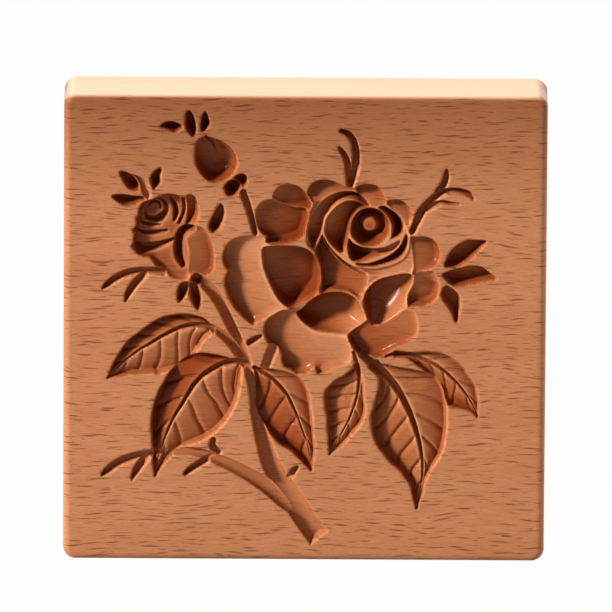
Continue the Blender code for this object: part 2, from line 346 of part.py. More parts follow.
class Relief:
    """Depth of the carving below the face on a grid; negative where the cutter stays off the wood."""

    def __init__(self, across, up):
        self.x, self.z = np.meshgrid(across, up, indexing="ij")
        self.depth = np.full(self.x.shape, -OVERRUN)
        self.unit = HUNDREDTH_SHARE * SIDE

    def cut(self, rim, floor, inside):
        """Cut down to the floor, a share of CARVE_DEPTH, with steep walls that start at the rim's depth."""
        wall = rim * CARVE_DEPTH + WALL_SLOPE * inside
        self.depth = np.maximum(self.depth, soft_min(floor * CARVE_DEPTH, wall, FLOOR_ROUND))

    def along(self, path):
        """Yield, for each piece of the path, the distance to it, the side and the values along it."""
        lengths = np.hypot(*np.diff(path[:, :2], axis=0).T)
        starts = np.concatenate([[0], np.cumsum(lengths)])
        for start, length, a, b in zip(starts, lengths, path, path[1:]):
            dx, dz = b[:2] - a[:2]
            place = ((self.x - a[0]) * dx + (self.z - a[1]) * dz) / max(length**2, 1e-12)
            place = np.clip(place, 0, 1)
            away_x = self.x - a[0] - place * dx
            away_z = self.z - a[1] - place * dz
            side = np.sign(dx * away_z - dz * away_x)
            values = a[2:] + place[..., None] * (b[2:] - a[2:])
            yield np.hypot(away_x, away_z), side, values, (start + place * length) / starts[-1]

    def stroke(self, path):
        """Depth inside the stroke, its half width there and the place across it, from -1 to 1."""
        inside = np.full(self.x.shape, -SIDE)
        width = np.full(self.x.shape, self.unit)
        across = np.zeros(self.x.shape)
        for distance, side, values, _share in self.along(path):
            half = np.maximum(values[..., 0], HUNDREDTH_SHARE * self.unit)
            here = half - distance
            nearer = here > inside
            inside = np.where(nearer, here, inside)
            width = np.where(nearer, half, width)
            across = np.where(nearer, np.clip(side * distance / half, -1, 1), across)
        return inside, width, across

    def within(self, outline):
        """Signed distance to a closed outline, positive inside it."""
        nearest = np.full(self.x.shape, SIDE)
        inner = np.zeros(self.x.shape, bool)
        for a, b in zip(outline, outline[1:]):
            dx, dz = b - a
            place = ((self.x - a[0]) * dx + (self.z - a[1]) * dz) / max(dx**2 + dz**2, 1e-12)
            place = np.clip(place, 0, 1)
            nearest = np.minimum(nearest, np.hypot(self.x - a[0] - place * dx, self.z - a[1] - place * dz))
            if dz:
                crossed = (a[1] > self.z) != (b[1] > self.z)
                inner ^= crossed & (self.x < a[0] + (self.z - a[1]) * dx / dz)
        return np.where(inner, nearest, -nearest)

    def hollow(self, _name, rim, shallow, deep, bearing, reach, knots):
        outline = smooth_path(knots, closed=True)
        inside = self.within(outline)
        angle = np.radians(bearing)
        ahead = np.array([np.cos(angle), np.sin(angle)])
        start, end = np.sort(outline @ ahead)[[0, -1]]
        tilt = np.clip((self.x * ahead[0] + self.z * ahead[1] - start) / (end - start), 0, 1)
        floor = shallow + (deep - shallow) * tilt
        self.cut(rim, rim + (floor - rim) * round_wall(inside, reach * self.unit), inside)

    def channel(self, _name, rim, left, right, knots):
        inside, width, across = self.stroke(smooth_path(knots))
        floor = right + (left - right) * (0.5 + 0.5 * across)
        self.cut(rim, rim + (floor - rim) * round_wall(inside, CHANNEL_WALL_SHARE * width), inside)

    def stem(self, name, deep, knots):
        inside, width, _across = self.stroke(smooth_path(knots))
        floor = deep * round_wall(inside, width)
        if name == "main_stem":
            ahead = self.before_stem_end()
            floor = np.minimum(floor, END_SLOPE * ahead / CARVE_DEPTH)
            inside = np.minimum(inside, ahead)
        self.cut(0, floor, inside)

    def before_stem_end(self):
        """Room left before the plane of the stem's sawn end."""
        angle = np.radians(STEM_END_BEARING)
        ahead = (STEM_END_SHARES[0] * self.unit - self.x) * np.cos(angle)
        return ahead + (STEM_END_SHARES[1] * self.unit - self.z) * np.sin(angle)

    def leaf(self, _name, deep, veins, base_width, tip_width, knots):
        nearest = np.full(self.x.shape, SIDE)
        half = np.full(self.x.shape, self.unit)
        place = np.zeros(self.x.shape)
        for distance, side, values, share in self.along(smooth_path(knots)):
            nearer = distance < nearest
            nearest = np.where(nearer, distance, nearest)
            half = np.where(nearer, np.where(side > 0, values[..., 0], values[..., 1]), half)
            place = np.where(nearer, share, place)
        half = np.maximum(half, HUNDREDTH_SHARE * self.unit)
        rim = np.clip(nearest / half, 0, 1)
        scoop = np.mod(veins * (place - VEIN_LEAN_SHARE * rim) + VEIN_START_SHARE, 1)
        scoop = np.minimum(scoop / (1 - VEIN_JUMP_SHARE), (1 - scoop) / VEIN_JUMP_SHARE)
        fade = np.clip(8 * (1 - place), 0, 1) * np.clip(5 * rim, 0, 1)
        blade = 1 - BLADE_RIB_SHARE * (1 - rim)**4 - BLADE_RIM_SHARE * rim - VEIN_SHARE * (1 - scoop) * fade
        inside = half - nearest
        self.cut(0, deep * blade * round_wall(inside, LEAF_WALL_SHARE * SIDE), inside)
        rib = self.unit * (base_width + (tip_width - base_width) * place)
        self.cut(0, (deep + MIDRIB_SHARE) * round_wall(rib - nearest, rib), rib - nearest)

    def well(self, rim, deep, top, across, up, knob, foot, edge):
        from_centre = np.hypot(self.x - across * self.unit, self.z - up * self.unit) / self.unit
        inside = (edge - from_centre) * self.unit
        rise = np.clip((foot - from_centre) / (foot - knob), 0, 1)
        floor = rim + (deep - rim) * round_wall(inside, WELL_WALL_SHARE * self.unit)
        self.cut(rim, floor - (deep - top) * rise * rise * (3 - 2 * rise), inside)


def carve():
    """The depth of the whole carving on the cutter's grid, with the places of its rows and columns."""
    (left, right), (low, high) = RELIEF_WINDOW_SHARES
    unit = HUNDREDTH_SHARE * SIDE
    across = np.linspace(left * unit, right * unit, RELIEF_CELLS + 1)
    up = np.linspace(low * unit, high * unit, RELIEF_CELLS + 1)
    relief = Relief(across, up)
    for row in HOLLOW_SHARES:
        relief.hollow(*row)
    for row in CHANNEL_SHARES:
        relief.channel(*row)
    for row in STEM_SHARES:
        relief.stem(*row)
    for row in LEAF_SHARES:
        relief.leaf(*row)
    relief.well(*WELL_SHARES)
    return relief


def remove_everything():
    for item in list(bpy.data.objects):
        bpy.data.objects.remove(item, do_unlink=True)


def new_collection(name):
    collection = bpy.data.collections.new(name)
    bpy.context.scene.collection.children.link(collection)
    return collection


def move_to(item, collection):
    for owner in list(item.users_collection):
        owner.objects.unlink(item)
    collection.objects.link(item)


def beech():
    material = bpy.data.materials.new("steamed_beech")
    material.use_nodes = True
    shader = material.node_tree.nodes["Principled BSDF"]
    shader.inputs["Base Color"].default_value = BEECH_COLOUR
    shader.inputs["Roughness"].default_value = BEECH_ROUGHNESS
    shader.inputs["Metallic"].default_value = 0.0
    return material


def add_bevel(item, name, width, segments, limit):
    bevel = item.modifiers.new(name, "BEVEL")
    bevel.width = width
    bevel.segments = segments
    bevel.limit_method = limit
    return bevel


def make_block(collection):
    """The plain blank: a square block with rounded corners and sanded edges."""
    bpy.ops.mesh.primitive_cube_add(size=1, location=(0, 0, SIDE / 2))
    block = bpy.context.active_object
    block.name = "carved_block"
    block.data.name = "carved_block"
    block.scale = (SIDE, THICKNESS, SIDE)
    bpy.ops.object.transform_apply(location=False, rotation=False, scale=True)
    weights = block.data.attributes.new("bevel_weight_edge", "FLOAT", "EDGE")
    for edge in block.data.edges:
        a, b = (block.data.vertices[i].co for i in edge.vertices)
        runs_through = abs(a.y - b.y) > THICKNESS / 2
        weights.data[edge.index].value = 1.0 if runs_through else 0.0
    add_bevel(block, "round_corners", CORNER_ROUND, CORNER_SEGMENTS, "WEIGHT")
    add_bevel(block, "sand_edges", EDGE_ROUND, EDGE_SEGMENTS, "ANGLE")
    block.data.materials.append(beech())
    move_to(block, collection)
    return block


def put_in_order(shape):
    """Give the edges and faces one fixed order, as extruding leaves none and thinning depends on it."""
    shape.verts.index_update()
    count = len(shape.verts)

    def place(item):
        indices = [corner.index for corner in item.verts]
        return min(indices) * count + max(indices)

    shape.edges.sort(key=place)
    shape.faces.sort(key=place)


def make_relief_cutter(collection):
    """The carving as a solid: a grid pushed to the relief's depth, walled and lidded in front of the face.

    The mesh is squeezed flat while its facets are thinned, so that no steep wall folds over, and the
    object's scale along Y gives it back its depth.
    """
    relief = carve()
    bpy.ops.mesh.primitive_grid_add(x_subdivisions=RELIEF_CELLS, y_subdivisions=RELIEF_CELLS, size=1)
    cutter = bpy.context.active_object
    cutter.name = "relief_cutter"
    mesh = cutter.data
    flat = np.zeros(len(mesh.vertices) * 3)
    mesh.vertices.foreach_get("co", flat)
    column, row = np.rint((flat.reshape(-1, 3)[:, :2] + 0.5) * RELIEF_CELLS).astype(int).T
    places = np.stack([relief.x[column, row] - SIDE / 2, SQUEEZE_SHARE * relief.depth[column, row],
                       relief.z[column, row]], axis=1)
    mesh.vertices.foreach_set("co", places.ravel())
    shape = bmesh.new()
    shape.from_mesh(mesh)
    rim = [edge for edge in shape.edges if edge.is_boundary]
    walls = bmesh.ops.extrude_edge_only(shape, edges=rim)["geom"]
    for corner in walls:
        if isinstance(corner, bmesh.types.BMVert):
            corner.co.y = -2 * SQUEEZE_SHARE * OVERRUN
    lid = [edge for edge in walls if isinstance(edge, bmesh.types.BMEdge) and edge.is_boundary]
    bmesh.ops.contextual_create(shape, geom=lid)
    bmesh.ops.recalc_face_normals(shape, faces=shape.faces)
    put_in_order(shape)
    shape.to_mesh(mesh)
    shape.free()
    cutter.location.y = -THICKNESS / 2
    cutter.scale.y = 1 / SQUEEZE_SHARE
    facets = cutter.modifiers.new("fewer_facets", "DECIMATE")
    facets.ratio = FACET_SHARE
    cutter.hide_render = True
    cutter.display_type = "WIRE"
    move_to(cutter, collection)
    return cutter


def main():
    remove_everything()
    parts = new_collection("cookie_press_board")
    cutters = new_collection("cutters")
    block = make_block(parts)
    cut = block.modifiers.new("carve_relief", "BOOLEAN")
    cut.operation = "DIFFERENCE"
    cut.object = make_relief_cutter(cutters)
    block.data.shade_smooth()
    block.data.set_sharp_from_angle(angle=SHARP_ANGLE)


main()
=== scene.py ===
"""Looks of the wooden cookie press board: a beech block with a rose spray carved into its face."""

import math

import bmesh
import bpy
import numpy as np
from mathutils import Matrix, Vector


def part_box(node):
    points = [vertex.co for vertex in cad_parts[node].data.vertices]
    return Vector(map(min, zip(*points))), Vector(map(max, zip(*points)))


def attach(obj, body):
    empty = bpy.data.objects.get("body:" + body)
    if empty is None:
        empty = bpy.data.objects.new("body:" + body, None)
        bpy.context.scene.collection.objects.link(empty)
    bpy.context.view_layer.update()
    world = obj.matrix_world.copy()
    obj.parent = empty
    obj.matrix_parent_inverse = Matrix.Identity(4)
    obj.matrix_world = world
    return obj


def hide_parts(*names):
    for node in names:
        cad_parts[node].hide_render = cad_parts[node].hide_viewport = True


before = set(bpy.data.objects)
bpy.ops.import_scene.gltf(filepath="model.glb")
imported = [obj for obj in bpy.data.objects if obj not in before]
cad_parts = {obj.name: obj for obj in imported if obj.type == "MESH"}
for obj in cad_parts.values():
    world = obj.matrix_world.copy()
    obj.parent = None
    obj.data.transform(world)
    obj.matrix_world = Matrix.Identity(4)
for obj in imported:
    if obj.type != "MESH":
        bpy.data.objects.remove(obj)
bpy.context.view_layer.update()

MM = 0.001

# The block's sizes, read from the frame.
LOW, HIGH = (Vector(corner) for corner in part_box("carved_block"))
SIDE = HIGH.x - LOW.x
THICKNESS = HIGH.y - LOW.y
FACE = LOW.y
HUNDREDTH = SIDE / 100

# Rounding of the blank, as in the CAD model, where its edges turn by more than SHARP_ANGLE.
CORNER_ROUND = 2.6 * MM
CORNER_SEGMENTS = 10
EDGE_ROUND = 1.5 * MM
EDGE_SEGMENTS = 8
SHARP_ANGLE = 1.2

# The cut wood: its full depth, the fall of a wall for one step sideways, the rounding at its foot and on
# its rim, the height given to wood that isn't cut, and what is planed off the face.
CARVE_DEPTH = 6.8 * MM
WALL_SLOPE = 3.6
CORNER_BLEND = 0.45 * MM
RIM_SOFTNESS = 0.16 * MM
CLEAR = 0.6 * MM
PLANED_OFF = 0.01 * MM

# Grid of the relief: fine inside the carved window, coarse outside it, in hundredths of the side. It is
# thinned to a share of its facets while its depth is squeezed.
FINE_STEP = 0.15
FINE_WINDOW = ((6.5, 91.5), (2.0, 97.5))
COARSE_LINES = 4
PAST_EDGE = 0.2
FACETS_KEPT = 0.45
SQUEEZE = 0.25

# Steps from one knot of a path to the next, and the least widths and divisor.
PATH_STEPS = 6
THINNEST_STROKE = 0.02 * MM
THINNEST_LEAF = 0.05 * MM
TINY = 1e-12

# Places are in hundredths of the side, from the lower left corner of the face: across and up.
# Depths are shares of CARVE_DEPTH.
# Hollows: name, depth at the rim, depth at the shallow and at the deep side, bearing of the deep side
# in degrees, width of the rounded wall in hundredths, and the outline.
HOLLOWS = [
    ("heart_ground", 0.14, 0.15, 0.17, 190, 1, [(50.6, 68.2), (50.7, 71.2), (51.4, 75.2), (52.6, 77.2),
        (55, 79), (58.5, 79.8), (61.3, 79), (63.2, 76.5), (65, 76.4), (67.2, 76.5), (69.6, 74.4),
        (70.6, 72), (71.5, 69.5), (71.8, 66), (72, 62.2), (68.5, 61.6), (65, 60.6), (62.7, 58.2),
        (61.4, 56.2), (57, 58), (53.4, 57.8), (53.2, 60.7), (52.9, 64.6), (51.9, 66.9)]),
    ("rose_top_middle", 0, 0.12, 0.34, 100, 1.3, [(50.4, 78.2), (50.5, 79.8), (51.5, 81.2), (53.5, 82),
        (55.8, 81.7), (58.2, 80.6), (60.2, 80.2), (61, 78.5), (57, 77), (52.5, 76.5)]),
    ("rose_top_right", 0, 0.08, 0.36, 90, 1.3, [(60.2, 80.1), (61.6, 80.9), (63.2, 81.1), (65, 80.6),
        (66.1, 79.2), (66.9, 77.4), (67, 75.5), (63, 75), (61, 78)]),
    ("rose_right_back", 0, 0.1, 0.3, 60, 1, [(66.6, 77.2), (68.2, 77.8), (70, 77.6), (71.5, 76.3),
        (72.2, 74.6), (72.1, 73), (71.4, 72), (69.5, 72.5), (67.5, 75)]),
    ("rose_top_left", 0, 0.14, 0.52, -35, 1.3, [(43.4, 77.7), (43.4, 79), (44.5, 80.5), (46.2, 81),
        (48.2, 80.7), (49.8, 79.6), (50.8, 78.2), (51.4, 76.4), (50.2, 75.6), (46, 76)]),
    ("rose_left_back", 0, 0.14, 0.6, -40, 1.6, [(43.6, 77.7), (41.9, 77.6), (40.5, 76.7), (39.6, 75),
        (39.5, 73), (40.1, 71.3), (41.3, 70.1), (41.9, 69.6), (41.8, 68.3), (43.5, 67.9), (46, 68.1),
        (48.2, 68.7), (49.7, 69.7), (50.3, 71.3), (50.7, 73.3), (50.6, 75), (50, 75.9), (48, 76.1),
        (46, 76.8)]),
    ("rose_left", 0, 0.05, 0.43, 200, 1.8, [(41.6, 69.6), (38.5, 70), (35.6, 69.4), (33.8, 68),
        (32.9, 65.6), (33.2, 63.5), (33.9, 62.2), (33.3, 60.6), (33.6, 58), (35, 54.9), (37.3, 52.2),
        (39.3, 50.7), (40.3, 51.3), (42.4, 52.3), (45, 53.5), (48, 53.5), (47, 58), (44, 62), (43, 67)]),
    ("rose_dark_bowl", 0.14, 0.46, 0.98, -15, 0.9, [(41.3, 67.1), (43.5, 67.5), (46.5, 67.6), (49.5, 67.2),
        (51.3, 66.2), (52.6, 64.5), (53.2, 62.2), (53.2, 59.9), (52.6, 58.1), (51, 56.5), (49.3, 55),
        (47.9, 54.1), (46.3, 54.5), (44.4, 56.1), (42.6, 59.4), (41.5, 62.2), (41.1, 64.8)]),
    ("rose_foot_left", 0, 0.05, 0.43, 205, 2, [(42.5, 52.3), (41.7, 51), (41.5, 49.3), (41.9, 47.7),
        (43, 46.3), (44.7, 45.4), (45.2, 44), (45.3, 42.7), (46, 41.6), (47.3, 40.9), (48.7, 40.2),
        (50.5, 40.4), (52.1, 41.4), (52.7, 40.3), (54.3, 40.5), (56.5, 41.5), (58.4, 42.1), (59.5, 43),
        (59.9, 44.7), (59.4, 46.8), (58.9, 48.8), (60, 51), (56, 54), (50, 56), (47.4, 54.3), (45.3, 54),
        (43.5, 53)]),
    ("rose_right_foot", 0, 0.06, 0.46, 215, 1.8, [(59, 48.9), (59.3, 47.3), (60.2, 45.7), (61.6, 44.2),
        (63.5, 43.6), (65.7, 43.9), (67.5, 44.9), (69.5, 46.2), (71.5, 47.1), (73, 48.2), (73.6, 50),
        (73.4, 52.3), (72.4, 54.2), (70, 55), (66, 53), (62, 51.5)]),
    ("rose_front_bowl", 0.1, 0.18, 0.98, 138, 3.4, [(48, 53.2), (49.4, 54.3), (51.4, 56.1), (53.5, 57.3),
        (56, 57.8), (58.6, 57.5), (60.6, 56.4), (61.7, 54.6), (62.6, 52.4), (63, 50.5), (62, 49.3),
        (59, 48.6), (55.5, 48.6), (52.4, 49), (50.3, 50.1), (48.7, 51.6)]),
    ("rose_side_bowl", 0.1, 0.16, 0.76, 145, 3, [(62.2, 55.9), (62.6, 57.7), (63.8, 59.4), (65.6, 60.6),
        (68, 61.3), (70.5, 61.8), (72.2, 61.5), (72.6, 59.5), (72.2, 57.3), (71.2, 55.1), (69.6, 53),
        (67.6, 51.2), (65.5, 50), (63.6, 49.9), (63.1, 52), (62.6, 53.9)]),
    ("rose_right_upper", 0, 0.12, 0.36, 30, 1.4, [(71.6, 69.6), (73.6, 69.9), (75.4, 69.8), (77, 68.9),
        (77.9, 67.2), (77.9, 65.2), (77.3, 63.8), (76.3, 62.9), (74, 61.5), (72.2, 62), (71.6, 66)]),
    ("rose_right_lower", 0, 0.16, 0.52, -60, 1.6, [(76.4, 62.6), (77.3, 61.5), (77.9, 59.8), (77.9, 58),
        (77.3, 56.4), (76, 55.3), (74, 54.8), (71.3, 54.9), (71, 57.5), (72.4, 60.5), (73.5, 62.5)]),
    ("heart_outer", 0.15, 0.36, 0.84, -30, 0.8, [(63.3, 76.1), (62.6, 77.5), (61.2, 78.8), (59.3, 79.3),
        (57, 79.1), (54.7, 78.1), (52.9, 76.5), (51.5, 74.5), (50.7, 72.4), (50.4, 70.5), (50.7, 68.6),
        (51.7, 67.1), (52.6, 68.6), (53.4, 70), (53.8, 71.7), (54.1, 73.4), (55.2, 75), (56.8, 76.6),
        (58.6, 77.4), (60.3, 77.4), (61.8, 76.7)]),
    ("heart_dish", 0.17, 0.36, 0.86, -25, 0.8, [(63, 75.8), (61.8, 76.6), (60.3, 77.2), (58.7, 77.2),
        (57, 76.4), (55.4, 74.9), (54.4, 73.3), (54, 71.6), (54, 70.3), (54.5, 68.9), (55.5, 67.6),
        (56.8, 66.4), (57.7, 65.9), (58.2, 66.3), (58.3, 67.4), (58.5, 68.8), (58.9, 70.5), (59.3, 72.4),
        (60.2, 74), (61.6, 75.1)]),
    ("heart_right", 0.16, 0.84, 0.98, -60, 0.5, [(65.1, 75.8), (66.3, 76.2), (67.6, 75.5), (69, 74.5),
        (70, 73.3), (70.4, 71.9), (70.2, 70.5), (69.5, 69.8), (68.3, 69.3), (67.7, 68.9), (68, 70),
        (68.1, 71.4), (67.8, 72.6), (67.1, 73.9), (66.1, 75)]),
    ("heart_under", 0.18, 0.3, 0.96, 165, 0.55, [(59, 69.2), (60, 68.2), (61.6, 67.4), (63.5, 67.1),
        (65.1, 67.1), (66.7, 67.4), (68.1, 68.1), (69.7, 68.8), (69.5, 67.6), (68.3, 66.2), (66.3, 65.4),
        (64, 64.7), (61.7, 64.1), (60, 64.3), (59.2, 65.2), (58.8, 67.1)]),
    ("heart_sweep", 0.2, 0.6, 0.84, 60, 0.45, [(60.5, 63.8), (63, 63.8), (65.3, 64.5), (67.4, 65.5),
        (69.3, 67.1), (70.4, 68.9), (70.9, 70.1), (71.3, 69), (71, 67.1), (70.2, 65.4), (68.6, 64.3),
        (66.3, 63.5), (64, 63), (61.7, 63.1)]),
    ("rose_basin", 0.17, 0.24, 0.62, 160, 0.9, [(53.6, 70), (54.3, 68.2), (55.5, 66.3), (57, 64.5),
        (58.8, 63), (60.8, 61.8), (63, 61), (62.9, 59.6), (62.2, 57.9), (61.2, 56.6), (59, 57.9),
        (56, 58.3), (53.7, 57.9), (53.5, 60.5), (53.2, 63.5), (52.6, 65.4), (52.3, 66.8), (52.9, 68.4)]),
    ("heart_shelf", 0.16, 0.17, 0.28, 200, 0.6, [(60.2, 63), (62.3, 62.1), (64.2, 61.5), (65.6, 61.4),
        (67.6, 62), (70, 62.3), (72.1, 62.6), (72.3, 64.5), (72.1, 67), (71.8, 68.8), (71.5, 66.8),
        (70.6, 65.1), (68.8, 63.9), (66.4, 63.1), (63.8, 62.7)]),
    ("small_rose_base", 0, 0.2, 0.36, 150, 1.2, [(16.4, 76.9), (15.6, 75.6), (15.2, 73.2), (14.6, 70.8),
        (14.4, 68), (14.8, 66.3), (16.2, 65.3), (18, 64.8), (19, 63.4), (20.2, 62.7), (21.5, 61.4),
        (23.5, 60.4), (25.6, 60.3), (26.5, 62), (26.3, 66), (25.5, 70), (26.8, 71.4), (28, 73.6),
        (28.1, 76), (27.3, 78.1), (26, 78.7), (24.9, 77.6), (23.8, 78.4), (22, 78.8), (20, 78.4),
        (18.6, 77.7)]),
    ("small_calyx_right", 0, 0.08, 0.34, -20, 1.2, [(25, 70), (26.4, 71.4), (28.2, 71.8), (29.6, 70.8),
        (30.6, 69), (31.2, 66.8), (31.4, 64.4), (31, 62.2), (29.4, 61), (27.4, 61.2), (25.3, 62)]),
    ("small_curl", 0.16, 0.3, 0.56, -25, 0.9, [(25.3, 77.8), (26.2, 78.3), (27.3, 77.4), (27.8, 75.7),
        (27.4, 73.7), (26.2, 71.9), (25, 71.5), (25.3, 73.4), (25.3, 75.7)]),
    ("leaf_joint", 0, 0.34, 0.56, -40, 1.2, [(26.1, 60.3), (26.6, 61.4), (27.6, 61.9), (28.8, 61.3),
        (29.3, 60.2), (28.8, 59.1), (27.6, 58.8), (26.5, 59.2)]),
    ("lower_sepal_left", 0, 0.36, 0.56, 250, 1, [(25.9, 60), (24.5, 59.8), (23.7, 58.9), (23.4, 57.4),
        (23.6, 55.8), (24.1, 55.4), (25, 56), (25.8, 57.2), (26.2, 58.6)]),
    ("lower_sepal_right", 0, 0.42, 0.66, 265, 1.2, [(25.8, 59.6), (25.8, 57.6), (26.4, 55.7), (27.3, 54.3),
        (28, 53.8), (28.6, 54.8), (28.8, 56.6), (28.4, 58.4), (27.6, 59.6)]),
    ("bud", 0, 0.42, 0.76, -75, 2.6, [(28.2, 90.8), (27.2, 89.6), (26.9, 87.8), (27, 85.6), (27.8, 83.7),
        (29.2, 82), (30.8, 81.1), (32.4, 81.2), (34, 81.9), (35.3, 83.2), (36.1, 84.9), (35.9, 86.8),
        (34.8, 88.6), (33, 90), (31, 90.8), (29.5, 91.1)]),
    ("bud_calyx_left", 0, 0.5, 0.74, -60, 1.2, [(33, 80.1), (33.5, 81.1), (34.7, 81.9), (36, 81.6),
        (36.9, 80.6), (36.5, 79.2), (35.6, 78.3), (34.6, 78.1), (33.6, 78.6)]),
    ("bud_calyx_right", 0, 0.45, 0.66, -60, 1.1, [(35, 82.2), (36, 83), (37.2, 83.2), (38.1, 82.4),
        (38.2, 81.2), (37.4, 80.1), (36.2, 80.4), (35.2, 81.2)]),
    ("bud_sepal_left", 0, 0.38, 0.58, -80, 0.9, [(19.9, 93.2), (20.9, 94.1), (22.3, 94.3), (23.7, 93.9),
        (24.8, 93), (24, 92.1), (22.9, 91.7), (21.6, 92.2)]),
    ("bud_sepal_middle", 0, 0.42, 0.64, -80, 1.1, [(25, 92.9), (24.9, 94.9), (25.3, 96.4), (26.2, 96.5),
        (27.1, 95.3), (27.6, 93.6), (27.6, 91.9), (27, 90.9), (26, 91.4)]),
    ("bud_sepal_right", 0, 0.38, 0.58, -70, 0.9, [(28.2, 92.4), (28.1, 94), (28.5, 95.6), (29.2, 96.4),
        (29.9, 95.6), (30.4, 93.9), (30.1, 92.9), (29.1, 92)]),
    ("small_sepal_upper", 0, 0.38, 0.6, -70, 1.2, [(11.4, 83.4), (12, 81.7), (12.9, 80.2), (14.2, 79.3),
        (15.6, 79.3), (15.9, 80.4), (15.1, 82), (13.7, 83.1), (12.5, 83.5)]),
    ("small_sepal_joint", 0, 0.14, 0.3, 190, 1, [(13.8, 83), (15.5, 82.5), (17, 81.6), (17.9, 80.3),
        (18.2, 78.8), (17.6, 77.5), (16.6, 78.2), (15.8, 79.8), (15.2, 81.5)]),
    ("small_sepal_left", 0, 0.36, 0.58, -70, 0.9, [(9.9, 78), (10.6, 78.6), (12.4, 78.6), (14.6, 78.3),
        (16.4, 78.2), (17, 77.4), (16, 76.8), (14.8, 76.1), (13.2, 75.9), (11.6, 76.5)]),
    ("small_sepal_top", 0, 0.38, 0.56, -70, 1, [(17.8, 81.2), (17.9, 82.6), (18.8, 83.8), (20, 84.4),
        (20.4, 83.8), (20.2, 82.3), (20.2, 80.9), (19.3, 79.9), (18.5, 79.7)]),
    ("small_sepal_right", 0, 0.36, 0.58, -70, 1.2, [(29.9, 71.6), (30.2, 73.1), (31, 74.7), (31.8, 76.3),
        (32.6, 76.8), (33.3, 75.9), (33.5, 74.2), (33, 72.3), (32, 70.8), (30.8, 70.5)]),
    ("right_sepal_upper", 0, 0.4, 0.62, -60, 1.4, [(78.9, 63.4), (79.2, 65.3), (80.2, 67), (81.7, 68.4),
        (83.6, 69.2), (85.8, 69.3), (87.7, 69), (86.9, 67.5), (85.2, 65.6), (83.2, 64), (81.2, 63.1)]),
    ("right_sepal_middle", 0, 0.36, 0.62, -80, 1.3, [(78.3, 61.6), (80, 62.7), (82.4, 63.4), (84.8, 63.8),
        (86.8, 63.5), (88.4, 62.3), (89.8, 61.2), (89.2, 60.5), (87.2, 60.1), (84.6, 59.5), (82, 59.1),
        (80.3, 59.5)]),
    ("right_sepal_lower", 0, 0.34, 0.6, 225, 1.3, [(78.2, 58.4), (78.3, 56.6), (79.5, 54.9), (80.5, 53.2),
        (81, 51.8), (81.7, 51.5), (82.1, 53), (82.5, 55), (82.3, 57.2), (81, 58.6), (79.3, 59.5)]),
]

# Channels: name, depth at the rim, depth along the left and along the right side (walking along the
# knots), and the knots: across, up, half width.
CHANNELS = [
    ("heart_inner_fold", 0.4, 0.96, 0.96, [(60.8, 75.4, 0.35), (59.6, 74.3, 0.6), (58.7, 72.6, 0.65),
        (58.3, 70.8, 0.6), (58, 69, 0.5), (57.8, 67.4, 0.3)]),
    ("heart_swoosh", 0.22, 0.52, 0.52, [(53.9, 69.1, 0.2), (54.9, 67, 0.45), (56.6, 65.1, 0.45),
        (58.5, 63.5, 0.45), (60.5, 62.4, 0.45), (62.6, 61.5, 0.2)]),
    ("bud_fold", 0.4, 0.86, 0.86, [(29.4, 90.4, 0.15), (30.7, 88.9, 0.35), (31.5, 86.8, 0.4),
        (31.8, 84.6, 0.35), (31.6, 82.6, 0.15)]),
    ("bud_fold_left", 0.4, 0.8, 0.8, [(28.6, 89.8, 0.1), (29.5, 88.2, 0.25), (30, 86, 0.3),
        (30, 84, 0.15)]),
    ("small_black_band", 0.3, 0.86, 0.86, [(26.6, 71.2, 0.5), (25.2, 70.8, 0.9), (24.1, 69.4, 1),
        (23.8, 67.2, 1.05), (24, 64.9, 0.9), (24.8, 63.1, 0.5)]),
    ("small_crescent", 0.22, 0.56, 0.72, [(16.9, 74.4, 0.5), (17.3, 73.1, 0.8), (18.6, 72.7, 1),
        (20.2, 73.2, 1.15), (21.2, 74.7, 0.8), (20.9, 76.4, 0.6), (19.8, 77.2, 0.4)]),
    ("small_centre", 0.22, 0.66, 0.66, [(17.4, 75.5, 0.4), (18.4, 76.5, 0.5), (19.7, 76.3, 0.5),
        (20.1, 75.2, 0.4)]),
    ("small_fold", 0.24, 0.74, 0.74, [(22, 77.5, 0.4), (22.9, 76.1, 0.7), (23.3, 74.3, 0.8),
        (22.9, 72.7, 0.5)]),
    ("small_curl_edge", 0.24, 0.7, 0.7, [(24.7, 77.3, 0.4), (25, 75.5, 0.5), (24.6, 73.7, 0.5),
        (23.9, 72.1, 0.5)]),
    ("small_band_top", 0.24, 0.52, 0.52, [(15.6, 73.3, 0.4), (16.2, 72.2, 0.6), (17.8, 71.7, 0.6),
        (20, 71.6, 0.4)]),
    ("small_band_middle", 0.24, 0.52, 0.52, [(15, 70.8, 0.4), (16.5, 70.1, 0.6), (19, 70, 0.7),
        (21.4, 70.4, 0.5)]),
    ("small_band_foot", 0.26, 0.6, 0.6, [(15.2, 67.5, 0.7), (17, 66.9, 1.1), (19.5, 67.2, 1),
        (22, 68.2, 0.6), (22.9, 68.7, 0.4)]),
]

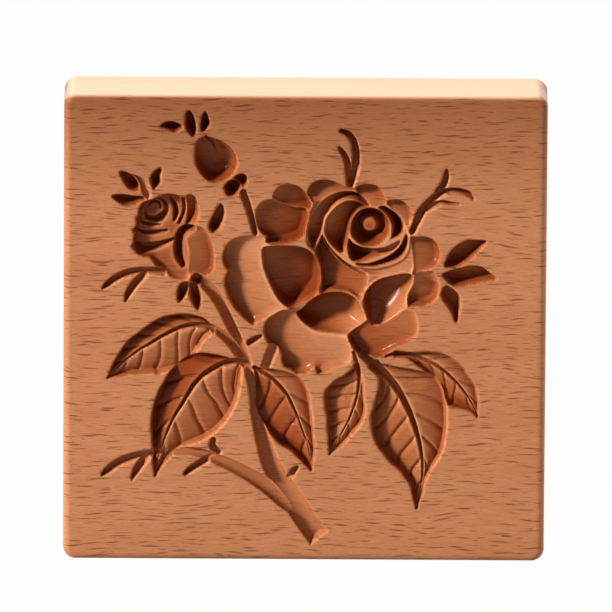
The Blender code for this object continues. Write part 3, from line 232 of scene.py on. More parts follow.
# Round-bottomed stems, twigs and thorns: name, depth and knots, from tip to foot.
STEMS = [
    ("main_stem", 0.3, [(28.5, 60.3, 1.2), (30.3, 58.6, 1.3), (32.3, 55.8, 1.25), (34.2, 52, 1.2),
        (35.9, 48.3, 1.15), (37.3, 45, 1.15), (38.4, 41.5, 1.15), (39.2, 38, 1.1), (39.7, 34.5, 1.1),
        (40.2, 31, 1.25), (41, 28, 1.5), (41.9, 25, 1.75), (42.8, 22, 1.95), (44.2, 19, 2.1),
        (46.3, 15.8, 2.25), (48.6, 12, 2.4), (50.9, 8.4, 2.4), (53.4, 4.8, 2.35)]),
    ("side_branch", 0.26, [(8.2, 18.3, 0.4), (9.2, 19.2, 0.85), (10.8, 20.5, 0.95), (12.7, 21.5, 1),
        (15, 22.3, 1), (18, 22.9, 1), (22, 23.4, 1), (26, 23.5, 1), (29.5, 22.8, 1.1), (33, 21.4, 1.25),
        (36.5, 19.7, 1.4), (40, 17.7, 1.55), (43.3, 15.4, 1.7), (46, 13, 1.7), (48.6, 10.8, 1.4)]),
    ("branch_thorn_left", 0.28, [(14.3, 17.1, 0.1), (14.5, 17.8, 0.45), (15.1, 19, 0.85), (16, 20.5, 1),
        (17.2, 22.2, 1)]),
    ("branch_thorn_middle", 0.3, [(25.5, 18.7, 0.6), (26.8, 19.8, 0.85), (28.4, 20.8, 0.9), (30.2, 22, 0.9),
        (31.6, 22.4, 0.5)]),
    ("branch_thorn_upper", 0.28, [(31.2, 25.9, 0.75), (31.1, 24.6, 0.85), (32.2, 23.2, 0.9)]),
    ("branch_thorn_right", 0.2, [(35, 19.4, 0.2), (34.8, 20.2, 0.5)]),
    ("stem_thorn", 0.28, [(48.6, 20.1, 0.5), (47.9, 19.3, 0.8), (47, 18, 0.9), (46, 16.5, 1)]),
    ("left_twig", 0.3, [(8.2, 58.5, 0.35), (9.2, 59.3, 0.8), (10.8, 60.5, 0.9), (12.8, 61.5, 0.95),
        (15.2, 62.1, 0.95), (18, 62.2, 0.95), (20.8, 62, 0.95)]),
    ("left_twig_fork", 0.32, [(12.9, 55.7, 0.3), (13.4, 57.1, 0.8), (14.3, 58.7, 1), (15.6, 60.3, 1),
        (17, 61.6, 0.8)]),
    ("back_stem", 0.2, [(43.6, 46, 1.2), (42.6, 43.5, 1.15), (41.8, 41, 1.1), (41, 39, 1)]),
    ("small_thorn", 0.28, [(40.9, 48.3, 0.5), (39.7, 47.6, 0.8), (38.6, 46.9, 0.8)]),
    ("bud_stem", 0.32, [(37.2, 79, 0.9), (37.9, 77, 0.9), (38.6, 74.8, 0.85), (39.2, 72.5, 0.8),
        (39.7, 70.3, 0.7)]),
    ("top_twig", 0.36, [(57.3, 92.4, 0.5), (58.7, 91.8, 0.75), (59.8, 90.5, 0.9), (60.3, 88.8, 0.95),
        (60.5, 86.8, 0.95), (60.2, 84.5, 1.1), (59.7, 82.5, 1.1), (59.3, 80.8, 0.9)]),
    ("top_twig_fork", 0.32, [(57, 88.8, 0.4), (58, 87.3, 0.75), (58.7, 85.6, 0.85), (59, 83.5, 0.95),
        (59.2, 81.5, 0.95)]),
    ("right_twig", 0.34, [(84.8, 78, 0.35), (84, 78.9, 0.7), (82, 79.6, 0.75), (79.5, 79.6, 0.8),
        (77.5, 78.8, 0.9), (75.5, 77, 1), (74, 75, 1.1), (73.1, 73, 1), (72.2, 70.9, 0.8)]),
    ("right_twig_upper", 0.34, [(79.2, 84, 0.45), (79.1, 82.6, 0.8), (78.6, 81, 0.9), (77.6, 79.4, 1)]),
    ("right_twig_lower", 0.26, [(81.8, 76.9, 0.3), (80, 77, 0.5), (78.3, 77.2, 0.6), (76.5, 76.6, 0.8),
        (75, 75.6, 0.8)]),
    ("far_left_stalk", 0.34, [(37.5, 42.8, 0.9), (36.3, 44.8, 1.05), (35, 46.6, 1.05), (33.4, 48.3, 1),
        (31.5, 49.6, 0.9), (29.5, 50.2, 0.7)]),
    ("middle_right_stalk", 0.26, [(60.2, 44.9, 0.45), (60.7, 43.3, 0.5), (61.1, 41.5, 0.55),
        (61.4, 39.5, 0.5)]),
    ("right_stalk", 0.42, [(61.8, 44.4, 0.7), (63.1, 43.5, 0.95), (64.8, 42, 1.05)]),
    ("far_right_stalk", 0.22, [(67, 44.2, 0.4), (69, 44.7, 0.6), (71, 44.6, 0.6)]),
]

# Leaves run from base to tip: name, depth, number of side veins, the midrib's half width at base and
# tip, and knots on the midrib: across, up, half width to the left and to the right.
LEAVES = [
    ("leaf_far_left", 0.36, 6, 1.1, 0.35, [(31.2, 49.6, 1.2, 0.4), (29.5, 50.2, 4.6, 1.6),
        (27.5, 50.4, 5.8, 2.4), (25, 50, 7, 3.1), (22.5, 49, 8, 3.9), (20, 47.6, 7.8, 3.9),
        (17.5, 46, 6.8, 3.6), (15.5, 44.8, 5.9, 3.3), (13, 42.8, 3.9, 2.3), (11, 40.9, 2, 1.3),
        (9.3, 39.2, 0.2, 0.2)]),
    ("leaf_left", 0.42, 6, 1.25, 0.35, [(37.6, 42, 3.4, 0.3), (36.2, 42.5, 7.9, 0.8), (35, 42.4, 8.6, 1.2),
        (33, 41.9, 9.4, 2.6), (31, 40.9, 10.1, 4.5), (29, 39.5, 10.6, 5.7), (27.2, 37.6, 10.8, 6),
        (26, 35.6, 10.4, 5.9), (24.8, 33.5, 9.5, 5.9), (23.5, 31.4, 8.2, 5.3), (22.3, 29, 6.4, 4.4),
        (21.3, 26.5, 4.5, 3.2), (20.3, 23.5, 2.8, 1.9), (19.6, 21, 1.3, 1.1), (19.2, 18.2, 0.2, 0.2)]),
    ("leaf_middle_left", 0.42, 5, 0.9, 0.35, [(39.6, 41.2, 0.4, 0.8), (41, 40.5, 1.2, 3.4),
        (42.7, 39.5, 2.2, 5.6), (44.2, 38.2, 3.5, 6.9), (45.5, 36.8, 4.4, 7.5), (46.6, 35.3, 4.6, 7.8),
        (47.5, 33.5, 4.2, 7.7), (48.4, 31.5, 3.5, 7.3), (49.2, 29.3, 2.9, 6.5), (49.9, 27.3, 2.3, 5.6),
        (50.7, 25, 1.7, 3.9), (51.2, 22.5, 1.1, 2.4), (51.5, 19.6, 0.2, 0.2)]),
    ("leaf_middle_right", 0.38, 6, 0.8, 0.35, [(60.9, 42, 0.6, 0.8), (61.3, 40, 0.8, 4),
        (61.3, 38, 1.1, 5.7), (61.1, 36, 1.5, 6.7), (60.7, 34.2, 2.2, 6.9), (60, 32, 2.9, 6.3),
        (59.2, 30, 2.7, 5.3), (58.3, 28.2, 2.1, 4.1), (57.3, 26.3, 1.7, 2.9), (56.3, 24.6, 1, 1.5),
        (55.4, 23.1, 0.2, 0.2)]),
    ("leaf_right", 0.44, 7, 1.45, 0.4, [(64.5, 42.3, 0.8, 0.6), (66.8, 40, 3, 2), (68.5, 38, 5.6, 4.8),
        (70, 35.8, 8.2, 7.1), (71.2, 33.5, 8.6, 8.3), (72.2, 31.3, 8, 8.9), (73, 29, 7.2, 9),
        (73.6, 27, 6.5, 8.7), (74.1, 25, 5.5, 8.1), (74.5, 22.5, 4.3, 7.1), (74.7, 20.2, 2.3, 5.5),
        (74.6, 18, 1.1, 4), (74.3, 16, 0.9, 2.4), (73.9, 14, 0.8, 1.4), (73.5, 11.6, 0.2, 0.2)]),
    ("leaf_far_right", 0.3, 6, 0.85, 0.35, [(69, 44.6, 0.5, 0.5), (72, 44.3, 0.9, 1),
        (74.5, 43.5, 1.9, 1.8), (77, 42.4, 2.9, 2.6), (79, 41, 3.5, 3.2), (80.7, 39.4, 3.5, 3.2),
        (82.2, 37.8, 3.1, 4.3), (83.5, 36.1, 2.8, 4.2), (84.6, 34.4, 1.9, 2.8), (85.4, 32.8, 1, 1),
        (85.9, 31.4, 0.2, 0.2)]),
]

# A leaf edge that bends more tightly than its midrib has points of its own, from base to tip.
LEFT_EDGES = {"leaf_left": [
    (37.6, 42), (37.2, 39.5), (36.8, 36.8), (36.2, 34.1), (35.1, 31.6), (33.5, 29.2), (31.4, 27.1),
    (29.1, 25.6), (26.4, 24.5), (24.2, 23.4), (22.1, 21.7), (20.4, 19.6), (19.2, 18)]}

# The well in the heart leaves a knob standing: depths of its rim, of its floor and of the knob's top, the
# centre across and up, and the radii of the knob, of its foot and of the well.
WELL = (0.17, 0.94, 0.5, 63.4, 71.6, 1.1, 2.8, 4.15)

# The sawn lower end of the main stem: a point on it, the stem's bearing in degrees, and its slope.
STEM_END = (53.4, 4.8)
STEM_END_BEARING = -53
STEM_END_SLOPE = 1.9

# Reach of the rounded walls: of a channel and a midrib as a share of the half width, of the well and of a
# leaf in hundredths of the side.
CHANNEL_WALL = 0.7
MIDRIB_WALL = 0.35
WELL_WALL = 0.5
LEAF_WALL = 0.9

# A leaf's blade: its depth beside the midrib as a share of that at the rim, and how it falls. Its veins:
# depth, narrowness, lean to the tip, shift to the base in spacings, and how fast they fade.
BLADE_AT_RIB = 0.38
BLADE_FALL = 1.5
VEIN_DEPTH = 0.22
VEIN_NARROWNESS = 5
VEIN_LEAN = 0.2
VEIN_START = 0.3
VEIN_FADE_AT_TIP = 8
VEIN_FADE_AT_RIB = 5

# Hollows with a floor that rises ever more steeply to the shallow side, as a spoon's does.
SCOOPED = ("rose_front_bowl", "rose_side_bowl")

# How dark the cut wood is made, 0 as the face, 1 darkest: partly the oil's darkening, partly painted shade.
# It grows with the depth of a hollow, and painted shade gathers in the corner under its deep side. A leaf
# is darkest to the right of its midrib, drawn from base to tip, as painted shade, and its extra tone goes
# to that half alone.
TONE_FROM = 0.16
TONE_GAIN = 0.8
CORNER_TONE = 0.5
CORNER_REACH = 2
STEM_TONE = 0.18
LEAF_TONE = 0.33
DARK_HALF_TONE = 0.74
RIB_SIDE_TONE = 0.45
RIB_TONE = 0.36
TIP_TONE = 0.4
TIP_SHARPNESS = 9
WELL_TONE = 0.5
EXTRA_TONE = {
    "rose_basin": 0.32, "heart_shelf": -0.16, "rose_top_left": 0.25, "rose_top_middle": 0.25,
    "rose_top_right": 0.22, "rose_right_back": 0.22, "rose_left_back": 0.38, "rose_right_upper": 0.24,
    "rose_right_foot": 0.32, "rose_side_bowl": 0.02, "rose_front_bowl": -0.15, "small_rose_base": 0.35,
    "small_calyx_right": 0.2, "bud": -0.1, "leaf_left": 0.45, "leaf_far_left": 0.2,
    "leaf_middle_left": 0.25, "leaf_middle_right": -0.3, "leaf_right": -0.25}

# Depth from which wood counts as carved, runs and cells of blur, full crest and hollow, and least tone.
CARVED_FROM = 0.5 * MM
BLUR_RUNS = 3
TONE_CELLS = 1
CREST_CELLS = 3
HOLLOW_CELLS = 9
FULL_CREST = 0.3 * MM
FULL_HOLLOW = MM
LEAST_TONE = 0.02

# Layers of the wood's colour, one over the other. A layer's noise: repeats per mm across, back and up,
# detail, roughness, and the range in which it comes up. Then its largest share and its colour.
LAYERS = {
    "broad": (((0.012, 0.1, 0.11), 3, 0.55), 0.3, 0.7, 1, (190, 127, 89)),
    "cloud": (((0.05, 0.06, 0.07), 3, 0.5), 0.3, 0.7, 0.35, (214, 150, 110)),
    "streak": (((0.22, 1.6, 4.5), 4, 0.6), 0.35, 0.65, 0.42, (168, 104, 66)),
    "pores": (((1.1, 9, 11), 3, 0.55), 0.45, 0.75, 0.38, (150, 88, 54)),
}
WAVE = ((0.035, 0.06, 0.1), 3, 0.5)
WAVE_LIFT = (0, 1, -2.6, 2.6)

# Ray flecks: cell of one in mm, its half size as a share of that, and the share of cells with one.
BOLD_FLECKS = ((6, 22, 1.25), (0.44, 0.6, 0.15), 0.85)
FINE_FLECKS = ((3, 16, 0.72), (0.42, 0.55, 0.15), 0.8)
FINE_SHIFT = (31, 7, 13)
FINE_STRENGTH = 0.7
FLECK_STRETCH = (0.55, 1.35)
FLECK_CORE = 0.45

# More colours, from 0 to 255: a painted highlight on crests, and the top side, paler as its own wood and as
# painted light.
# Then the darkest that oil and painted shade make the cut wood, and painted shade on the upper face and in
# hollows.
BEECH = (201, 141, 103)
FLECK = (118, 62, 32)
CREST_HIGHLIGHT = (226, 158, 116)
TOP_SIDE_PALE_AND_LIT = (226, 187, 157)
OIL_AND_SHADE_DARKEST = (0.4, 0.155, 0.06)
UPPER_SHADE = (0.52, 0.4, 0.32, 1)
HOLLOW_SHADE = (0.42, 0.28, 0.2, 1)
HOLLOW_SHARE = 0.25

# Ranges: where a ramp starts and ends, and what it gives there, if not 0 and 1.
BELOW_FACE = (FACE + 0.1 * MM, FACE + 1.2 * MM)
BEFORE_BACK = (FACE + 9 * MM, FACE + 8.5 * MM)
FLECK_SHARE = (0, 1, 0.95, 0.4)
UPPER_WAVER = (0, 1, -4 * MM, 4 * MM)
UPPER_PART = (72 * MM, 104 * MM)
UPPER_FALL = 1.2
CREST_SHARE = (0.16, 0.8, 0, 0.55)
CREST_FADE_BY_TONE = (0.1, 0.6, 1, 0.15)
FACING_UP = (0.45, 0.95)
UNCUT = (0.01, 0)

# Gloss and bump of the wood. Cut wood is smoother and shows less bump.
ROUGH = (0.3, 0.7, 0.4, 0.5)
FLECK_ROUGH = 0.06
CUT_SMOOTH = 0.29
SPECULAR = 0.08
STREAK_HEIGHT = 0.8
GRAIN_HEIGHT = 0.035
FLECK_HEIGHT = 0.05
CUT_HEIGHT = (0, 1, 1, 0.25)
BUMP_STRENGTH = 0.8

# To the camera the floor is white but for a trace of its shading, as no shadow shows in the photograph.
WHITE = (1, 1, 1, 1)
FLOOR_SIZE = 4
FLOOR_COLOUR = (0.42, 0.4, 0.37, 1)
FLOOR_ROUGHNESS = 0.9
FLOOR_WHITE_SHARE = 0.98
WORLD_COLOUR = (1, 0.66, 0.42, 1)
WORLD_LIGHT = 0.09

# Lamps: name, direction from the block's middle, distance, size, power and colour.
LAMPS = [
    ("key", (-0.8, -0.44, 0.4), 3.4, 0.6, 183, (1, 0.96, 0.91)),
    ("overhead", (-0.1, 0.2, 1), 0.9, 0.35, 6, (1, 0.97, 0.92)),
    ("edge", (0.98, 0.03, 0.2), 1.2, 0.3, 6.3, (1, 0.96, 0.92)),
]

# The camera, straight in front, as fitted to the block's outline in the photograph.
FRAME_PIXELS = 612
CAMERA_ELEVATION = 15.16
CAMERA_ROLL = 0.34
CAMERA_DISTANCE = 3.8
PIXELS_PER_MM = 4.816
MIDDLE_PIXEL = (304.7, 318.75)
SENSOR_WIDTH = 36
CLIP_END = 20


def soft_min(a, b, radius):
    """The smaller of two heights, with the corner between them rounded."""
    blend = np.clip(0.5 + 0.5 * (b - a) / radius, 0, 1)
    return b * (1 - blend) + a * blend - radius * blend * (1 - blend)


def smooth_path(knots, closed=False):
    """A curve through the knots, as rows of points (and half widths) in metres."""
    knots = np.array(knots, float) * HUNDREDTH
    if closed:
        ends = np.vstack([knots[-1:], knots, knots[:2]])
    else:
        ends = np.vstack([2 * knots[0] - knots[1], knots, 2 * knots[-1] - knots[-2]])
    steps = np.linspace(0, 1, PATH_STEPS, endpoint=False)[:, None]
    rows = []
    for p, q, r, s in zip(ends, ends[1:], ends[2:], ends[3:]):
        rows.append(0.5 * (2 * q + (r - p) * steps + (2 * p - 5 * q + 4 * r - s) * steps**2
                           + (3 * q - p - 3 * r + s) * steps**3))
    path = np.vstack(rows + [ends[-2:-1]])
    path[:, 2:] = np.maximum(path[:, 2:], 0)
    return path


def round_wall(inside, reach):
    """A quarter ellipse: 0 at the rim and 1 from reach inwards."""
    share = np.clip(inside / reach, 0, 1)
    return np.sqrt(share * (2 - share))


class Patch:
    """The part of the relief's grid that one cut can reach."""

    def __init__(self, relief, points, reach=0):
        margin = reach + CLEAR
        low = points.min(axis=0) - margin
        high = points.max(axis=0) + margin
        columns = slice(*np.searchsorted(relief.across, (low[0], high[0])))
        rows = slice(*np.searchsorted(relief.up, (low[1], high[1])))
        self.x, self.z = np.meshgrid(relief.across[columns], relief.up[rows], indexing="ij")
        self.target = relief.depth[columns, rows]
        self.tone = relief.tone[columns, rows]

    def cut(self, rim, floor, inside, tone):
        """Cut down to the floor, with steep walls that start at the rim's depth, and note the tone."""
        wall = rim + WALL_SLOPE * inside / CARVE_DEPTH
        depth = CARVE_DEPTH * soft_min(floor, wall, CORNER_BLEND / CARVE_DEPTH)
        depth = np.where(inside > -rim * CARVE_DEPTH / WALL_SLOPE, depth, -CLEAR)
        np.copyto(self.tone, np.clip(tone, 0, 1), where=depth > self.target)
        np.maximum(self.target, depth, out=self.target)

    def beside(self, a, b, squared):
        """Place of each point along the line from a to b, 0 to 1, and the steps from the line to it."""
        dx, dz = b[:2] - a[:2]
        ahead = (self.x - a[0]) * dx + (self.z - a[1]) * dz
        place = np.clip(ahead / max(squared, TINY), 0, 1)
        return place, self.x - a[0] - place * dx, self.z - a[1] - place * dz

    def along(self, path):
        """Yield for each piece of a path the distance to it, the side, the values and the place on it."""
        lengths = np.hypot(*np.diff(path[:, :2], axis=0).T)
        starts = np.concatenate([[0], np.cumsum(lengths)])
        for start, length, a, b in zip(starts, lengths, path, path[1:]):
            dx, dz = b[:2] - a[:2]
            place, away_x, away_z = self.beside(a, b, length**2)
            side = np.sign(dx * away_z - dz * away_x)
            values = a[2:] + place[..., None] * (b[2:] - a[2:])
            yield np.hypot(away_x, away_z), side, values, (start + place * length) / starts[-1]

    def stroke(self, path):
        """How far each point lies inside the stroke, the half width, and the place across it, -1 to 1."""
        inside = np.full(self.x.shape, -SIDE)
        width = np.full(self.x.shape, MM)
        across = np.zeros(self.x.shape)
        for distance, side, values, _place in self.along(path):
            half = np.maximum(values[..., 0], THINNEST_STROKE)
            here = half - distance
            nearer = here > inside
            inside = np.where(nearer, here, inside)
            width = np.where(nearer, half, width)
            across = np.where(nearer, np.clip(side * distance / half, -1, 1), across)
        return inside, width, across

    def within(self, outline):
        """Signed distance to a closed outline, positive inside it."""
        nearest = np.full(self.x.shape, SIDE)
        inner = np.zeros(self.x.shape, bool)
        for a, b in zip(outline, outline[1:]):
            dx, dz = b - a
            _place, away_x, away_z = self.beside(a, b, dx**2 + dz**2)
            nearest = np.minimum(nearest, np.hypot(away_x, away_z))
            if dz:
                crossed = (a[1] > self.z) != (b[1] > self.z)
                inner ^= crossed & (self.x < a[0] + (self.z - a[1]) * dx / dz)
        return np.where(inner, nearest, -nearest)


class Relief:
    """Depth of the carving below the face; negative where the wood isn't cut."""

    def __init__(self):
        self.across = self.lines(*FINE_WINDOW[0])
        self.up = self.lines(*FINE_WINDOW[1])
        self.depth = np.full((len(self.across), len(self.up)), -CLEAR)
        self.tone = np.zeros(self.depth.shape)

    def lines(self, low, high):
        """Grid lines: fine between low and high, and coarse out past the block's edges."""
        fine = np.arange(low, high, FINE_STEP)
        coarse = np.linspace(0, 1, COARSE_LINES, endpoint=False)
        start, end = -PAST_EDGE, 100 + PAST_EDGE
        before = start + coarse * (low - start)
        after = end - coarse[::-1] * (end - high)
        return HUNDREDTH * np.concatenate([before, fine, after])

    def hollow(self, name, rim, shallow, deep, bearing, reach, knots):
        """A hollow in an outline, its floor sloping down to the deep side."""
        outline = smooth_path(knots, closed=True)
        patch = Patch(self, outline)
        inside = patch.within(outline)
        angle = math.radians(bearing)
        ahead = np.array([math.cos(angle), math.sin(angle)])
        start, end = np.sort(outline @ ahead)[[0, -1]]
        tilt = np.clip((patch.x * ahead[0] + patch.z * ahead[1] - start) / (end - start), 0, 1)
        if name in SCOOPED:
            tilt = tilt * (2 - tilt)
        floor = shallow + (deep - shallow) * tilt
        # Tone, partly oil and partly painted shade: it grows with the floor's depth, and painted shade
        # gathers in the corner under the deep side.
        corner = tilt * np.exp(-np.maximum(inside, 0) / (CORNER_REACH * HUNDREDTH))
        tone = (floor - TONE_FROM) * TONE_GAIN + CORNER_TONE * corner + EXTRA_TONE.get(name, 0)
        patch.cut(rim, rim + (floor - rim) * round_wall(inside, reach * HUNDREDTH), inside, tone)

    def channel(self, _name, rim, left, right, knots):
        """A curved groove between two petals or folds."""
        path = smooth_path(knots)
        patch = Patch(self, path[:, :2], path[:, 2].max())
        inside, width, across = patch.stroke(path)
        floor = right + (left - right) * (0.5 + 0.5 * across)
        # Tone, partly oil and partly painted shade, grows with the floor's depth.
        tone = (floor - TONE_FROM) * TONE_GAIN
        patch.cut(rim, rim + (floor - rim) * round_wall(inside, CHANNEL_WALL * width), inside, tone)

    def stem(self, name, deep, knots):
        """A round-bottomed groove; that of the main stem has a sloping, sawn end."""
        path = smooth_path(knots)
        patch = Patch(self, path[:, :2], path[:, 2].max())
        inside, width, _across = patch.stroke(path)
        floor = deep * round_wall(inside, width)
        if name == "main_stem":
            angle = math.radians(STEM_END_BEARING)
            ahead = (STEM_END[0] * HUNDREDTH - patch.x) * math.cos(angle)
            ahead = ahead + (STEM_END[1] * HUNDREDTH - patch.z) * math.sin(angle)
            floor = np.minimum(floor, STEM_END_SLOPE * ahead / CARVE_DEPTH)
            inside = np.minimum(inside, ahead)
        patch.cut(0, floor, inside, STEM_TONE)

    def leaf(self, name, deep, veins, base_width, tip_width, knots):
        """A leaf's blade with its side veins, and its midrib as a deeper groove."""
        path = smooth_path(knots)
        ahead = np.gradient(path[:, :2], axis=0)
        ahead = ahead / np.hypot(*ahead.T)[:, None]
        leftward = np.column_stack([-ahead[:, 1], ahead[:, 0]])
        left = path[:, :2] + leftward * path[:, 2:3]
        if name in LEFT_EDGES:
            left = smooth_path(LEFT_EDGES[name])
        right = path[:, :2] - leftward * path[:, 3:4]
        outline = np.vstack([left, right[::-1], left[:1]])
        patch = Patch(self, outline)
        inside = patch.within(outline)
        nearest = np.full(patch.x.shape, SIDE)
        place = np.zeros(patch.x.shape)
        tone = np.zeros(patch.x.shape)
        # Painted shade: one half of the blade is darker, and the tone grows towards the rim and the tip.
        dark_half = DARK_HALF_TONE + EXTRA_TONE.get(name, 0)
        for distance, side, _values, share in patch.along(path):
            nearer = distance < nearest
            nearest = np.where(nearer, distance, nearest)
            place = np.where(nearer, share, place)
            tone = np.where(nearer, np.where(side > 0, LEAF_TONE, dark_half), tone)
        rim = nearest / np.maximum(nearest + np.maximum(inside, 0), THINNEST_LEAF)
        between = np.mod(veins * (place - VEIN_LEAN * rim) + VEIN_START, 1)
        vein = np.abs(2 * between - 1)**VEIN_NARROWNESS * np.clip(VEIN_FADE_AT_TIP * (1 - place), 0, 1)
        blade = BLADE_AT_RIB + (1 - BLADE_AT_RIB) * rim**BLADE_FALL
        blade = blade + VEIN_DEPTH * vein * np.clip(VEIN_FADE_AT_RIB * rim, 0, 1)
        tone = tone * (RIB_SIDE_TONE + (1 - RIB_SIDE_TONE) * rim) + TIP_TONE * place**TIP_SHARPNESS
        patch.cut(0, deep * blade * round_wall(inside, LEAF_WALL * HUNDREDTH), inside, tone)
        rib = HUNDREDTH * (base_width + (tip_width - base_width) * place)
        groove = deep * round_wall(rib - nearest, MIDRIB_WALL * rib)
        patch.cut(0, groove, rib - nearest, RIB_TONE)

    def well(self, rim, deep, top, across, up, knob, foot, edge):
        """The round well in the rose's heart, with the knob that stands in it."""
        centre = np.array([[across, up]]) * HUNDREDTH
        patch = Patch(self, centre, edge * HUNDREDTH)
        from_centre = np.hypot(patch.x - centre[0, 0], patch.z - centre[0, 1]) / HUNDREDTH
        inside = (edge - from_centre) * HUNDREDTH
        rise = np.clip((foot - from_centre) / (foot - knob), 0, 1)
        floor = rim + (deep - rim) * round_wall(inside, WELL_WALL * HUNDREDTH)
        # Painted shade: the tone grows from the knob's foot to the well's rim.
        outer = np.clip((from_centre - foot) / (edge - foot), 0, 1)
        tone = WELL_TONE + (1 - WELL_TONE) * outer
        patch.cut(rim, floor - (deep - top) * rise * rise * (3 - 2 * rise), inside, tone)

    def soften_rims(self):
        """Round the rims, so that nothing is above the face and no rim is a knife edge."""
        self.depth = -soft_min(-self.depth, np.zeros(1), RIM_SOFTNESS)


def carve():
    """Cut all forms into one relief, which keeps the deepest at each point."""
    relief = Relief()
    for row in HOLLOWS:
        relief.hollow(*row)
    for row in CHANNELS:
        relief.channel(*row)
    for row in STEMS:
        relief.stem(*row)
    for row in LEAVES:
        relief.leaf(*row)
    relief.well(*WELL)
    relief.soften_rims()
    return relief


def make_blank():
    """The plain block with rounded corners and edges, its face left a hair proud for planing."""
    bpy.ops.mesh.primitive_cube_add(size=1)
    blank = bpy.context.active_object
    for vertex in blank.data.vertices:
        x, y, z = vertex.co
        near = LOW.y - PLANED_OFF if y < 0 else HIGH.y
        vertex.co = (SIDE * x, near, SIDE * (z + 0.5))
    shape = bmesh.new()
    shape.from_mesh(blank.data)

    def round_off(edges, radius, segments):
        bmesh.ops.bevel(shape, geom=edges, offset=radius, segments=segments, profile=0.5, affect="EDGES")

    through = [e for e in shape.edges if abs(e.verts[0].co.y - e.verts[1].co.y) > THICKNESS / 2]
    round_off(through, CORNER_ROUND, CORNER_SEGMENTS)
    border = [e for e in shape.edges if e.calc_face_angle(0) > SHARP_ANGLE]
    round_off(border, EDGE_ROUND, EDGE_SEGMENTS)
    shape.to_mesh(blank.data)
    shape.free()
    return blank


def put_in_order(shape):
    """Give the edges and faces one fixed order, as extruding leaves none and thinning depends on it."""
    shape.verts.index_update()
    count = len(shape.verts)

    def place(item):
        indices = [corner.index for corner in item.verts]
        return min(indices) * count + max(indices)

    shape.edges.sort(key=place)
    shape.faces.sort(key=place)


def make_cutter(relief):
    """The relief as a closed solid in front of the face, thinned while it is squeezed flat."""
    columns, rows = len(relief.across) - 1, len(relief.up) - 1
    bpy.ops.mesh.primitive_grid_add(x_subdivisions=columns, y_subdivisions=rows, size=1)
    cutter = bpy.context.active_object
    mesh = cutter.data
    flat = np.zeros(len(mesh.vertices) * 3)
    mesh.vertices.foreach_get("co", flat)
    column, row = np.rint((flat.reshape(-1, 3)[:, :2] + 0.5) * (columns, rows)).astype(int).T
    places = np.stack([relief.across[column] - SIDE / 2, SQUEEZE * relief.depth[column, row],
                       relief.up[row]], axis=1)
    mesh.vertices.foreach_set("co", places.ravel())
    shape = bmesh.new()
    shape.from_mesh(mesh)
    rim = [edge for edge in shape.edges if edge.is_boundary]
    walls = bmesh.ops.extrude_edge_only(shape, edges=rim)["geom"]
    for corner in walls:
        if isinstance(corner, bmesh.types.BMVert):
            corner.co.y = -2 * SQUEEZE * CLEAR
    lid = [edge for edge in walls if isinstance(edge, bmesh.types.BMEdge) and edge.is_boundary]
    bmesh.ops.contextual_create(shape, geom=lid)
    bmesh.ops.recalc_face_normals(shape, faces=shape.faces)
    put_in_order(shape)
    shape.to_mesh(mesh)
    shape.free()
    cutter.location.y = FACE
    cutter.scale.y = 1 / SQUEEZE
    thin = cutter.modifiers.new("thin", "DECIMATE")
    thin.ratio = FACETS_KEPT
    return cutter


def make_block():
    """The carved block as one mesh."""
    relief = carve()
    blank = make_blank()
    cutter = make_cutter(relief)
    cut = blank.modifiers.new("carve", "BOOLEAN")
    cut.operation = "DIFFERENCE"
    cut.object = cutter
    solid = bpy.data.meshes.new_from_object(blank.evaluated_get(bpy.context.evaluated_depsgraph_get()))
    for helper in (blank, cutter):
        bpy.data.objects.remove(helper, do_unlink=True)
    block = bpy.data.objects.new("carved_beech_block", solid)
    bpy.context.scene.collection.objects.link(block)
    solid.shade_smooth()
    weighted = block.modifiers.new("weighted_normals", "WEIGHTED_NORMAL")
    weighted.weight = 100
    add_cavity(solid, relief)
    return block


def blur(values, cells):
    """A box blur of a grid in both directions, run a few times."""
    for _ in range(BLUR_RUNS):
        for axis in (0, 1):
            padded = np.concatenate([np.repeat(values.take([0], axis), cells + 1, axis), values,
                                     np.repeat(values.take([-1], axis), cells, axis)], axis)
            sums = np.cumsum(padded, axis)
            count = values.shape[axis]
            window = 2 * cells + 1
            ahead = sums.take(range(window, window + count), axis)
            values = (ahead - sums.take(range(count), axis)) / window
    return values


def add_cavity(mesh, relief):
    """Store on each point, 0 to 1, how far it lies on a crest (painted highlight) or in a hollow (painted
    shade), and how dark its cut is.
    """
    carved = np.clip(relief.depth / CARVED_FROM, 0, 1)
    crest = np.minimum(relief.depth - blur(relief.depth, CREST_CELLS), 0) * carved
    hollow = np.maximum(relief.depth - blur(relief.depth, HOLLOW_CELLS), 0)
    count = len(mesh.vertices)
    places = np.zeros(count * 3)
    mesh.vertices.foreach_get("co", places)
    places = places.reshape(-1, 3)
    column = np.clip(np.searchsorted(relief.across, places[:, 0] + SIDE / 2), 0, len(relief.across) - 1)
    row = np.clip(np.searchsorted(relief.up, places[:, 2]), 0, len(relief.up) - 1)
    in_front = places[:, 1] < FACE + CARVE_DEPTH
    tone = blur(np.maximum(relief.tone, LEAST_TONE) * carved, TONE_CELLS)
    for name, field in (("crest", -crest / FULL_CREST), ("hollow", hollow / FULL_HOLLOW), ("tone", tone)):
        values = np.where(in_front, np.clip(field[column, row], 0, 1), 0)
        mesh.attributes.new(name, "FLOAT", "POINT").data.foreach_set("value", values.astype(np.float32))


